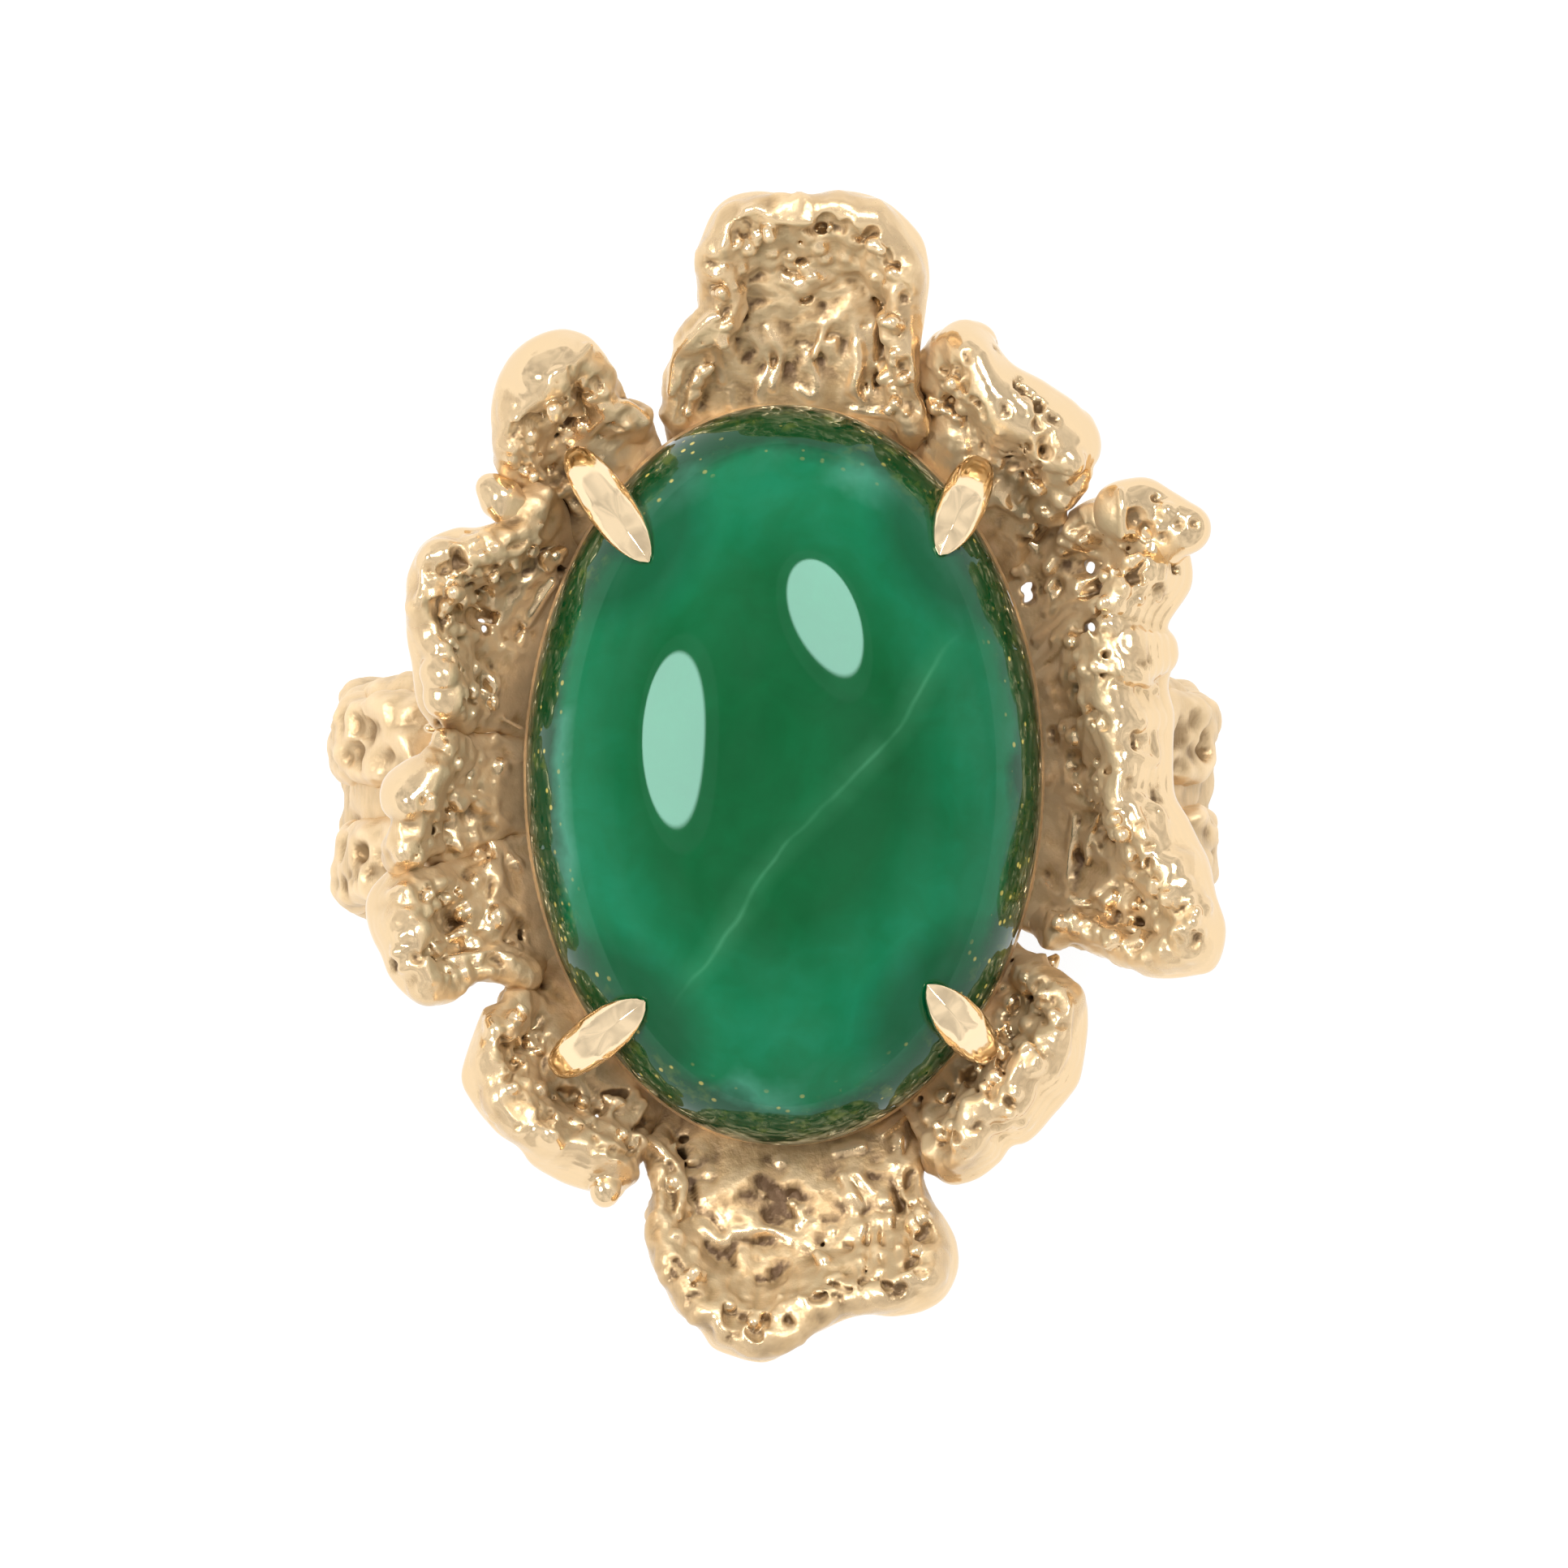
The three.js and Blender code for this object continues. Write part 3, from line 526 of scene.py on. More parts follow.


# ---- Petals ----

# Each petal: the edge it shows from above, then the rim's height, half thickness and outer slope, spaced
# evenly along that edge. Ridges are (radius, points), lumps and pits (x, y, radius) and rings of beads
# (x, y, ring radius, bead radius), all laid on whatever surface is there. Drops (x, y, z, radius) hang
# below the rim, and holes (x, y, radius) go right through. Calm scales the wall's roughness, sleek the
# grain left on the rim, groove the width of the grooves inside it, and painted shade darkens the whole
# petal.
PETALS = {
    "petal_top": {
        "calm": 0.8, "groove": 1.3,
        "edge": [(-3, 8.95), (-2.75, 10.1), (-2.45, 10.85), (-1.95, 11.45), (-2.1, 12.2), (-2.05, 13),
            (-1.5, 13.95), (-0.7, 14.22), (0.35, 14.12), (1.5, 14.18), (2.55, 13.8), (3.3, 13.05),
            (3.52, 12.2), (3.38, 11), (3.3, 9.8), (3.45, 8.6)],
        "high": [12.9, 13.7, 14.4, 14.9, 15.2, 15.3, 15.2, 15, 14.8, 14.3, 13.4],
        "half": [0.28, 0.3, 0.36, 0.4, 0.38, 0.38, 0.4, 0.42, 0.38, 0.28, 0.2],
        "slope": [0.1, 0.2, 0.2, 0.1],
        "ridges": [(0.1, [(-1.46, 12.79), (-1.15, 13.38), (-0.74, 13.7), (-0.1, 13.42), (0.62, 13.4)]),
            (0.14, [(-2.73, 9.35), (-2.6, 10.17), (-2.23, 10.62), (-1.69, 11.12), (-1.33, 10.93)]),
            (0.11, [(-0.83, 10.8), (-0.47, 10.35), (-0.38, 9.94), (-0.56, 9.49), (-0.6, 9.26)]),
            (0.1, [(-0.38, 10.9), (-0.1, 10.3), (-0.28, 9.44)]), (0.1, [(-1.7, 10.4), (-1.5, 9.6)]),
            (0.1, [(0.49, 10.4), (0.8, 9.58), (0.67, 9.21), (0.35, 9.4)]),
            (0.11, [(1.71, 11.16), (1.84, 10.17), (1.71, 9.44), (1.89, 9.12)]),
            (0.09, [(2.2, 11.52), (2.15, 10.17), (2.1, 9.35)]), (0.1, [(1.71, 8.9), (2.93, 8.71)]),
            (0.12, [(2.98, 10.53), (3.11, 9.89), (3.11, 9.4), (3.29, 9.03), (3.43, 8.35)])],
        "lumps": [(0.44, 11.95, 0.36), (0.85, 12.1, 0.26), (0.05, 12.05, 0.2), (2.43, 11.07, 0.22),
            (2, 10.8, 0.12), (-1.03, 11.8, 0.15), (2.75, 10.03, 0.15), (2.66, 9.4, 0.18), (-2.1, 9.6, 0.2),
            (1.5, 12.6, 0.2), (-0.3, 12.5, 0.22), (2.2, 12, 0.2)],
        "rings": [(0.58, 12.5, 0.42, 0.17)],
        "pits": [(-1.71, 11.89, 0.18), (-1.51, 10.93, 0.14), (0.55, 12.5, 0.2), (-1.8, 12.4, 0.12),
            (2.4, 12.5, 0.12)],
    },
    "petal_upper_right": {
        "sleek": 0.15,
        "edge": [(3.35, 9.7), (3.5, 10.5), (4, 10.95), (4.6, 11.1), (5.1, 10.75), (5.6, 10), (6.35, 9.5),
            (7.1, 8.95), (7.6, 8.35), (7.45, 7.6), (7.3, 6.9), (6.95, 6.3)],
        "high": [13.4, 14.2, 14.7, 15, 15.1, 15, 14.7, 14.3, 13.4],
        "half": [0.35, 0.66, 0.8, 0.78, 0.78, 0.82, 0.78, 0.5, 0.35],
        "slope": [0, 0.1, 0.3, 0.3, 0],
        "ridges": [(0.12, [(4.2, 9.5), (4.5, 9), (4.75, 8.6), (5.2, 8)]),
            (0.1, [(4.3, 8.5), (4.45, 7.9), (4.35, 7.2)]), (0.09, [(3.2, 9.6), (3.35, 8.9), (3.4, 8.4)]),
            (0.09, [(4.6, 8.2), (4.9, 8.1)]), (0.16, [(5.3, 6.7), (5.6, 6.5), (6.1, 6.6), (6.4, 6.85)]),
            (0.12, [(5.8, 6.35), (6.4, 6.2)]), (0.08, [(5.6, 9.25), (5.85, 9.1), (5.9, 8.9)])],
        "lumps": [(3.85, 9.35, 0.2), (5.8, 9.1, 0.12), (4.1, 8, 0.2), (4.5, 7.6, 0.18), (6.3, 6.5, 0.3),
            (6.8, 6.75, 0.35), (7.1, 7.1, 0.35), (6.95, 7.6, 0.4), (5.1, 7.5, 0.2), (4.9, 7, 0.15),
            (5.6, 7.3, 0.18), (5.9, 7, 0.15), (5.2, 8.35, 0.15)],
        "pits": [(5.15, 10.4, 0.1), (4.4, 10.15, 0.12), (5.65, 9.45, 0.13), (5.85, 9.2, 0.1),
            (5.4, 8.85, 0.12), (6.25, 8.95, 0.12), (6.55, 8.65, 0.14), (6.3, 7.9, 0.3), (6.6, 7.9, 0.14),
            (6.85, 7.3, 0.08), (6.1, 8.45, 0.12), (4.35, 9.75, 0.1)],
    },
    "petal_right": {
        "sleek": 0.3,
        "edge": [(6.75, 5.9), (7.2, 6.6), (8.2, 6.9), (9.3, 6.7), (9.9, 5.6), (9.98, 4.6), (9.4, 3.65),
            (9.62, 3.06), (9.35, 2.2), (9.5, 1.4), (9.44, 0.5), (9.45, -0.4), (9.8, -1.1), (10.25, -2),
            (10.5, -2.9), (10.75, -3.8), (10.55, -4.6), (10.05, -4.92), (8.9, -4.97), (8.1, -4.65),
            (7.4, -4.2), (6.6, -4.05)],
        "high": [12.9, 13.9, 14.2, 14.4, 14.5, 14.6, 14.5, 14.4, 14.3, 14.4, 14.6, 14.8, 14.7, 14.2, 13.6,
            12.9],
        "half": [0.3, 0.4, 0.5, 0.5, 0.62, 0.6, 0.62, 0.55, 0.5, 0.6, 0.6, 0.55, 0.48, 0.4, 0.3],
        "slope": [0, 0.3, 0.6, 0.75, 0.8, 0.7, 0.35, 0.3, 0.1, 0],
        "ridges": [(0.1, [(8.97, 1), (9.03, 0.35), (8.43, 0.52)]), (0.12, [(8.65, 2.35), (9.03, 2.08)]),
            (0.1, [(8.16, -0.03), (8.14, -0.51), (8.33, -0.68), (8.87, -0.68), (9.19, -0.95),
            (9.24, -1.43)]),
            (0.14, [(8.49, -0.78), (8.81, -1.81)]), (0.1, [(7.43, 1.38), (7.35, 0.35)]),
            (0.1, [(7.73, -0.84), (7.41, -1.65), (7.41, -2.13)]), (0.1, [(8, -1.65), (8.05, -2.51)]),
            (0.18, [(6.2, 3.35), (6.7, 3.7), (7.1, 4.1), (7.6, 4.1)]), (0.12, [(6.6, 3.3), (6.9, 3.5)]),
            (0.14, [(5.5, 6.1), (6.1, 5.6)]), (0.12, [(7, 5.6), (7.5, 5.45), (8, 5.2)]),
            (0.12, [(7.4, 4.75), (7.9, 4.9), (8.1, 4.2)]), (0.1, [(8.6, 5.3), (8.7, 4.7)]),
            (0.1, [(9.2, 5.1), (9.1, 4.3)]), (0.12, [(6.4, -2.7), (6.9, -3.1), (7.5, -3)]),
            (0.12, [(6.5, -3.4), (7.1, -3.7), (7.6, -3.5)]), (0.12, [(7.1, -1), (7, -1.9), (6.9, -2.6)])],
        "lumps": [(7.95, 2.54, 0.15), (8.2, 2.76, 0.15), (8.11, 1.11, 0.18), (8.6, 1.19, 0.15),
            (8.76, 0.89, 0.12), (8.24, 0.33, 0.14), (8.38, -0.49, 0.12), (8.65, -0.54, 0.12),
            (7.46, -0.13, 0.14), (6.92, 0.25, 0.14), (7.22, 0.35, 0.12), (6.8, 5.5, 0.18),
            (6.45, 5.05, 0.2), (6.2, 5.3, 0.1), (7.2, 4.7, 0.16), (6.6, 4.5, 0.22), (6.55, 4.3, 0.16),
            (8.2, 2.55, 0.14), (7.7, 2.6, 0.12), (6.9, 2.4, 0.2), (6.6, 2, 0.2), (7.1, 1.9, 0.22),
            (7.2, 2.9, 0.22), (9.27, -3, 0.14), (10.22, -3.24, 0.16), (9.54, -3.78, 0.2),
            (10.06, -3.84, 0.18), (9.19, -4.24, 0.2), (9.75, -2.6, 0.2), (8.7, -3.9, 0.2)],
        "rings": [(8.24, -3.32, 0.4, 0.15), (9.57, -3.3, 0.42, 0.15), (7.6, 3.2, 0.3, 0.12),
            (8.5, 4.5, 0.3, 0.1)],
        "pits": [(7.73, 2.25, 0.16), (8.38, -0.19, 0.14), (8.97, -0.46, 0.16), (8.65, -1.2, 0.16),
            (8.85, -1.7, 0.14), (8.45, 0.85, 0.16), (10, -4.08, 0.16), (9.6, -3.3, 0.2), (8.24, -3.3, 0.2),
            (7.9, 3.35, 0.22), (6.54, 0.95, 0.25), (9.2, 4.5, 0.12), (9.4, 5, 0.1), (8.8, 2.7, 0.12),
            (8.1, 0.7, 0.1)],
        "holes": [(5.98, 4.62, 0.17), (6.02, 4.35, 0.15), (7.5, 5.1, 0.17), (7.5, 3.65, 0.15)],
    },
    "petal_lower_right": {
        "edge": [(6.1, -4.6), (6.58, -4.75), (7.01, -4.98), (7.34, -5.4), (7.4, -5.9), (7.34, -6.7),
            (7.15, -7.45), (6.54, -8.26), (6, -8.92), (5.57, -9.1), (5.29, -9.5), (4.65, -9.93),
            (3.93, -9.95), (3.4, -9.6)],
        "high": [13.3, 14.1, 14.5, 14.7, 14.75, 14.7, 14.5, 14.3, 13.4],
        "half": [0.3, 0.42, 0.45, 0.48, 0.5, 0.5, 0.5, 0.42, 0.3],
        "slope": [0, 0.2, 0.5, 0.7, 0.7, 0.5, 0.3],
        "ridges": [(0.1, [(6.6, -5.1), (6.9, -5.6), (6.85, -6.5), (6.6, -7.2)]),
            (0.12, [(5.3, -5.2), (5.9, -5.4)]), (0.1, [(6, -7.5), (5.88, -7.94), (5.4, -8.5), (4.9, -8.69),
            (4.48, -9.2)]), (0.1, [(5.9, -6.6), (5.5, -7.4)]), (0.09, [(4.4, -7.5), (4, -8.4)])],
        "lumps": [(6.54, -4.6, 0.2), (6.35, -5.41, 0.2), (6.54, -5.8, 0.2), (6.58, -6.27, 0.22),
            (5.92, -6.07, 0.25), (5.33, -6.97, 0.35), (4.48, -8.02, 0.25), (5.76, -8.4, 0.2),
            (5.37, -5.53, 0.15), (4.2, -8.92, 0.15), (6.1, -7, 0.25), (5, -7.6, 0.2), (4.9, -8.3, 0.16),
            (5.9, -5.2, 0.18)],
        "rings": [(5.53, -7.95, 0.25, 0.12), (6.15, -6.6, 0.22, 0.1)],
        "pits": [(6.2, -5.65, 0.14), (6.3, -6.7, 0.14), (5.5, -7.95, 0.16), (4.7, -8.5, 0.12),
            (5.6, -6.5, 0.18), (6.75, -6.1, 0.08)],
    },
    "petal_bottom": {
        "calm": 0.55, "painted_shade": 0.12, "groove": 1.5,
        "edge": [(3.4, -9.6), (3.6, -10.3), (3.94, -10.83), (4.22, -11.4), (4.24, -12), (3.95, -12.6),
            (3.36, -12.99), (2.67, -13.12), (1.93, -13.1), (1.09, -13.39), (0.4, -13.7), (0.03, -14.05),
            (-0.5, -14.28), (-1.13, -14.2), (-1.75, -13.92), (-2.1, -13.5), (-2.67, -13.05), (-2.95, -12.4),
            (-3.3, -11.8), (-3.35, -11.2), (-3.15, -10.6), (-3, -10.1), (-3.25, -9.3)],
        "high": [12.9, 13.8, 14.4, 14.8, 14.9, 15, 15.1, 15.2, 15.2, 15, 14.7, 14.2, 13.6, 12.9],
        "half": [0.25, 0.35, 0.45, 0.45, 0.38, 0.34, 0.36, 0.42, 0.42, 0.36, 0.34, 0.3, 0.24, 0.2],
        "slope": [0, 0.3, 0.4, 0.1, 0.1, 0.3, 0.15, 0.1, 0],
        "ridges": [(0.1, [(2.25, -10.9), (2.2, -11.6), (2.25, -12.2)]),
            (0.1, [(2.56, -10.8), (2.55, -11.6), (2.6, -12.3)]),
            (0.08, [(2.9, -11), (2.85, -11.7), (2.9, -12.2)]), (0.1, [(3.2, -11.2), (3.2, -11.8)]),
            (0.14, [(-3.35, -8.92), (-2.98, -9.14), (-2.67, -9.56), (-2.45, -9.98), (-2.61, -10.46)]),
            (0.13, [(1.4, -9.77), (1.82, -10.46)]), (0.12, [(1.75, -9.72), (2.1, -10.14)]),
            (0.12, [(2.83, -8.87), (2.83, -9.93)]), (0.09, [(1.3, -9.19), (1.93, -9.06)]),
            (0.1, [(2.41, -8.77), (3.04, -8.29)]), (0.1, [(1.2, -11.1), (1, -11.9), (0.7, -12.5)]),
            (0.12, [(-1.98, -11.06), (-1.56, -11.35), (-1.19, -11.14), (-0.29, -11.09), (0.56, -11.46)]),
            (0.1, [(1.9, -11), (1.75, -11.8), (1.9, -12.3)])],
        "lumps": [(-1.56, -13.26, 0.2), (-0.82, -13.15, 0.18), (-0.18, -13.1, 0.18), (0.19, -12.83, 0.15),
            (0.5, -12.73, 0.15), (0.82, -12.57, 0.15), (1.3, -12.2, 0.2), (1.88, -11.6, 0.15),
            (-0.08, -9.43, 0.12), (-1.82, -9.72, 0.15), (-1.87, -10.3, 0.15), (-1.45, -10.77, 0.14),
            (-2.4, -10.6, 0.2), (2.62, -9.5, 0.13), (3.2, -10.9, 0.3), (2.5, -10.4, 0.2),
            (-2.2, -11.6, 0.2)],
        "rings": [(0.5, -10.98, 0.18, 0.08)],
        "pits": [(-1.19, -13.47, 0.2), (-0.5, -13.4, 0.14), (1.3, -12.6, 0.14), (1.88, -12.4, 0.14),
            (2.83, -12.5, 0.2), (3.3, -12.05, 0.16), (-2.65, -12.1, 0.14), (-2.2, -12.6, 0.14),
            (0.1, -13.2, 0.1)],
    },
    "petal_lower_left": {
        "calm": 0.8,
        "edge": [(-3.37, -9.17), (-3.57, -9.76), (-4, -10.1), (-4.6, -10.1), (-5.44, -9.86), (-6.1, -9.5),
            (-6.45, -9.05), (-7.02, -8.68), (-7.6, -8.05), (-7.84, -7.4), (-7.65, -6.61), (-7.25, -5.72),
            (-6.73, -5.3)],
        "high": [13, 13.9, 14.4, 14.6, 14.8, 14.8, 14.6, 14.2, 13.3],
        "half": [0.3, 0.5, 0.55, 0.52, 0.5, 0.52, 0.5, 0.45, 0.3],
        "slope": [0, 0.3, 0.4, 0.2, 0.3, 0.2, 0],
        "ridges": [(0.1, [(-5.6, -7.8), (-5.1, -8.4), (-4.7, -8.75)]), (0.12, [(-6.6, -5.9), (-6.5, -6.5)]),
            (0.1, [(-6.3, -6.1), (-6.15, -6.7), (-6.05, -7.4)]), (0.1, [(-7.2, -5.9), (-6.95, -6.6)]),
            (0.1, [(-3.3, -8.9), (-3, -9.3)]), (0.09, [(-6.9, -7.9), (-6.6, -8.3)])],
        "lumps": [(-5.66, -8.66, 0.38), (-4.34, -10.2, 0.3), (-4.1, -9.15, 0.28), (-6.85, -7.1, 0.15),
            (-6.4, -6.95, 0.18), (-6.7, -7.6, 0.2), (-6.85, -7.75, 0.18), (-6.4, -7.55, 0.2),
            (-6.15, -7.25, 0.16), (-6.1, -8.2, 0.2), (-5.05, -8.5, 0.18), (-6.5, -5.9, 0.25),
            (-7, -6.2, 0.25), (-7.1, -6, 0.2), (-5.8, -8, 0.2), (-7.05, -8.3, 0.12), (-6.4, -8.55, 0.15)],
        "rings": [(-6.55, -7.3, 0.28, 0.12), (-6.3, -6.3, 0.25, 0.1)],
        "drops": [(-4.34, -10.08, 14.2, 0.38), (-4.36, -10.22, 14.1, 0.29)],
        "pits": [(-7.35, -6.7, 0.1), (-6.75, -7.35, 0.12), (-6.35, -7.8, 0.12), (-5.7, -8.2, 0.12),
            (-6.5, -8.6, 0.1), (-6.7, -6.35, 0.14), (-5.2, -8.7, 0.12), (-4.6, -9, 0.12)],
    },
    "petal_left_lower": {
        "calm": 1,
        "edge": [(-6.4, -5.1), (-7, -4.95), (-7.7, -4.98), (-8.1, -5.5), (-8.68, -5.64), (-9.14, -5.47),
            (-9.6, -4.93), (-9.8, -4.3), (-10.08, -3.7), (-10.1, -3.1), (-9.9, -2.6), (-9.5, -2.15)],
        "high": [13, 13.5, 14, 14.4, 14.6, 14.6, 14.5, 14.3, 13.9],
        "half": [0.22, 0.26, 0.38, 0.5, 0.5, 0.5, 0.52, 0.5, 0.4],
        "slope": [0, 0, 0.1, 0.3, 0.5, 0.3],
        "ridges": [(0.1, [(-9.14, -3.37), (-8.79, -3.25), (-8.53, -3.14)]),
            (0.12, [(-8.27, -4.5), (-7.11, -4.35), (-6.65, -4.5)]), (0.1, [(-9.3, -4.7), (-8.95, -4.6),
            (-8.7, -4.9), (-8.8, -5.2)]), (0.14, [(-7.69, -0.7), (-7.4, -1.34), (-7.11, -1.75),
            (-6.94, -2.5)]), (0.08, [(-6.88, -1.69), (-6.42, -2.27)]), (0.1, [(-8.4, -1), (-8.3, -1.5)]),
            (0.1, [(-8.6, -3.7), (-8.3, -4.2)]), (0.1, [(-7.3, -3.9), (-6.9, -4.2)])],
        "lumps": [(-7.92, -2.85, 0.3), (-7.52, -2.6, 0.22), (-7.69, -3.3, 0.24), (-8.21, -2.61, 0.2),
            (-7, -3.48, 0.4), (-8.73, -4.58, 0.18), (-8.62, -4.96, 0.16), (-8.8, -2.9, 0.35),
            (-8.9, -3.8, 0.4), (-7.2, -2.2, 0.2), (-7.5, -1.9, 0.18), (-9.2, -2.9, 0.3), (-9.4, -4.3, 0.2)],
        "rings": [(-9.1, -4.1, 0.25, 0.1), (-8.2, -3.3, 0.3, 0.12)],
        "pits": [(-9.46, -4.67, 0.12), (-9.02, -4.99, 0.12), (-8.5, -3.5, 0.14), (-8.2, -3.8, 0.14),
            (-8.9, -4.5, 0.14), (-8.55, -5.2, 0.1)],
    },
    "petal_left_middle": {
        "calm": 1, "sleek": 0.2,
        "edge": [(-9.5, -2.25), (-9.75, -1.9), (-9.7, -1.4), (-9.66, -1.1), (-9.85, -0.6), (-9.66, -0.1),
            (-9.25, 0.25), (-8.7, 0.6), (-8.3, 0.9)],
        "high": [13.7, 14.1, 14.3, 14.4, 14.4, 14.2, 13.7],
        "half": [0.35, 0.5, 0.5, 0.62, 0.68, 0.55, 0.35],
        "slope": [0, 0.1, 0.2, 0],
        "ridges": [(0.12, [(-8.7, 1.15), (-8.2, 1.1), (-7.7, 0.95), (-7.4, 0.8)]),
            (0.1, [(-8.6, 0.75), (-8, 0.65)]), (0.09, [(-8.5, -0.95), (-8.2, -1.1), (-8.2, -1.5)])],
        "lumps": [(-6.94, 0.22, 0.27), (-7.52, 0.86, 0.25), (-8.27, 0.05, 0.2), (-7.98, -0.53, 0.18),
            (-7.69, -0.18, 0.18), (-9.2, -1.9, 0.3), (-8.9, -2, 0.2), (-8.3, 0.9, 0.3)],
        "pits": [(-8.01, 0.37, 0.14), (-8.6, -1.3, 0.14)],
    },
    "petal_left_upper": {
        "edge": [(-8.05, 1), (-8.5, 1.15), (-8.95, 1.7), (-9.1, 2.5), (-9.17, 3.4), (-9.15, 4.3),
            (-9.05, 4.95), (-8.75, 5.6), (-8.1, 5.98), (-7.4, 6.1), (-6.7, 6.4), (-6.2, 6.8)],
        "high": [13.4, 14.1, 14.4, 14.6, 14.7, 14.7, 14.6, 14.2, 13.4],
        "half": [0.5, 0.6, 0.5, 0.42, 0.45, 0.48, 0.5, 0.42, 0.25],
        "slope": [0.1, 0.3, 0.1, 0.1, 0.2, 0],
        "ridges": [(0.16, [(-8.1, 5.1), (-8, 4.6), (-7.85, 4.75)]), (0.12, [(-8.5, 4.4), (-8.3, 3.9),
            (-7.8, 3.5), (-7.5, 3.35)]), (0.1, [(-8.6, 5.3), (-8.75, 4.8), (-8.8, 4.2)]),
            (0.1, [(-7.1, 4.9), (-7.05, 4.5)]), (0.12, [(-7.69, 2.9), (-7.65, 2.4), (-7.6, 2)]),
            (0.14, [(-7.4, 2.6), (-7.15, 2.3), (-7.1, 2.1)]), (0.08, [(-7, 2.3), (-7.15, 1.8)]),
            (0.16, [(-6.3, 3.7), (-6, 4.2), (-5.65, 4.7)]), (0.1, [(-7.6, 5.3), (-7.2, 5.2), (-7.1, 4.8),
            (-7.3, 4.6)]), (0.1, [(-7.9, 4.3), (-7.5, 4.1), (-7.4, 3.9)])],
        "lumps": [(-8.1, 5.4, 0.16), (-7.55, 5.6, 0.22), (-8.05, 5, 0.18), (-8, 4.65, 0.2),
            (-8.8, 4.3, 0.16), (-8.5, 4.75, 0.14), (-8.5, 4.2, 0.15), (-8.2, 3.75, 0.18),
            (-7.85, 3.55, 0.2), (-7.55, 3.4, 0.18), (-8.35, 3.1, 0.2), (-8.05, 3.15, 0.18),
            (-7.85, 2, 0.16), (-7.15, 2.3, 0.22), (-7.15, 1.75, 0.14), (-6.35, 4.65, 0.1),
            (-6.5, 5.05, 0.1), (-6.6, 4.85, 0.1), (-6.65, 4.3, 0.14), (-6.45, 4.4, 0.12), (-6.9, 3.8, 0.2),
            (-7.05, 3.4, 0.15), (-7.15, 3.1, 0.15), (-6.4, 3.4, 0.14), (-7, 4.3, 0.2), (-7.7, 4.3, 0.2),
            (-8.35, 2.5, 0.55), (-8.2, 1.9, 0.62)],
        "rings": [(-7.05, 5.3, 0.24, 0.1), (-7.75, 4.35, 0.22, 0.09)],
        "pits": [(-7.85, 5.3, 0.24), (-7.65, 4.75, 0.22), (-8.2, 4.45, 0.14), (-8.65, 5, 0.1),
            (-7.05, 5, 0.12), (-7.75, 4.25, 0.1), (-7.5, 3.75, 0.16), (-7.25, 3.5, 0.12),
            (-7.62, 2.02, 0.12), (-8.44, 1.15, 0.12)],
    },
    "petal_upper_left": {
        "sleek": 0.15,
        "edge": [(-6.5, 7), (-7, 7.5), (-7.15, 8.3), (-7.08, 9.2), (-6.72, 9.98), (-6.2, 10.51),
            (-5.5, 10.82), (-4.85, 10.75), (-4.42, 10.4), (-4.15, 9.8), (-4.14, 9.2), (-3.6, 8.9)],
        "high": [13.3, 14.1, 14.6, 14.9, 15.1, 15.1, 14.9, 14.4, 13.4],
        "half": [0.3, 0.48, 0.6, 0.68, 0.7, 0.62, 0.5, 0.4, 0.28],
        "slope": [0, 0.1, 0.2, 0.2, 0, 0],
        "ridges": [(0.12, [(-4.73, 10.4), (-5.22, 9.83), (-5.56, 9.7), (-5.74, 9.3), (-6.2, 8.93),
            (-6.5, 8.6)]), (0.12, [(-4.88, 9.64), (-4.8, 9.08)]), (0.12, [(-4.76, 8.74), (-5.14, 8.36)]),
            (0.16, [(-5.14, 8.02), (-4.6, 8.5), (-4, 8.96), (-3.74, 8.93), (-3.4, 8.62)]),
            (0.1, [(-4.9, 7.9), (-4.3, 8.3), (-3.8, 8.5)]), (0.16, [(-6.57, 7.94), (-6.2, 7.6),
            (-5.89, 7.27)]), (0.08, [(-4.5, 7.6), (-4, 8.1)]), (0.1, [(-5.5, 9.2), (-5.3, 8.8)])],
        "lumps": [(-5.89, 7.94, 0.16), (-5.7, 8.4, 0.14), (-5.63, 7.6, 0.14), (-5.3, 9.2, 0.2),
            (-5.9, 8.7, 0.18), (-6.3, 8.3, 0.2), (-5.2, 8.8, 0.15), (-6.6, 7.7, 0.2), (-5.6, 9, 0.15),
            (-4.5, 9.4, 0.2)],
        "rings": [(-5.89, 7.94, 0.25, 0.09)],
        "pits": [(-6.54, 8.35, 0.18), (-5.45, 9.5, 0.12), (-5.1, 9.4, 0.14), (-5.8, 9.05, 0.12),
            (-6.1, 8.6, 0.1)],
    },
}

# The inner wall climbs steeply from its root, lies back under the stone's edge, then climbs to the rim.
WALL_SHAPE = ([0.0, 0.2, 0.5, 0.82, 1.0], [0.0, 0.4, 0.53, 0.66, 1.0])
WALL_HALF = 0.3
WALL_ROWS = 76
# How far apart the balls of the wall and of the rim lie along the edge, and the jags of the edge.
WALL_SPACING = 0.26
RIM_SPACING = 0.12
JAG_SPACING = 0.45
# Crumples on a wall, and nuggets inside the rim for each ball along it.
CRUMPLES = 70
RIM_NUGGETS = 0.42
# Noise on the petals, from coarse to fine: the size and the height of its lumps.
FOLDS = ((1.4, 0.14), (0.7, 0.12))
RIM_GRAIN = ((0.9, 0.07), (0.45, 0.05))
FACETS = ((0.75, 0.08), (0.38, 0.12))
CREASES = ((0.6, 0.08), (0.34, 0.06))
FINE_GRAIN = ((0.22, 0.06), (0.13, 0.03))


def spread(values, count):
    """Values spaced evenly, read off smoothly at count places."""
    return np.interp(np.linspace(0, len(values) - 1, count), np.arange(len(values)), values)


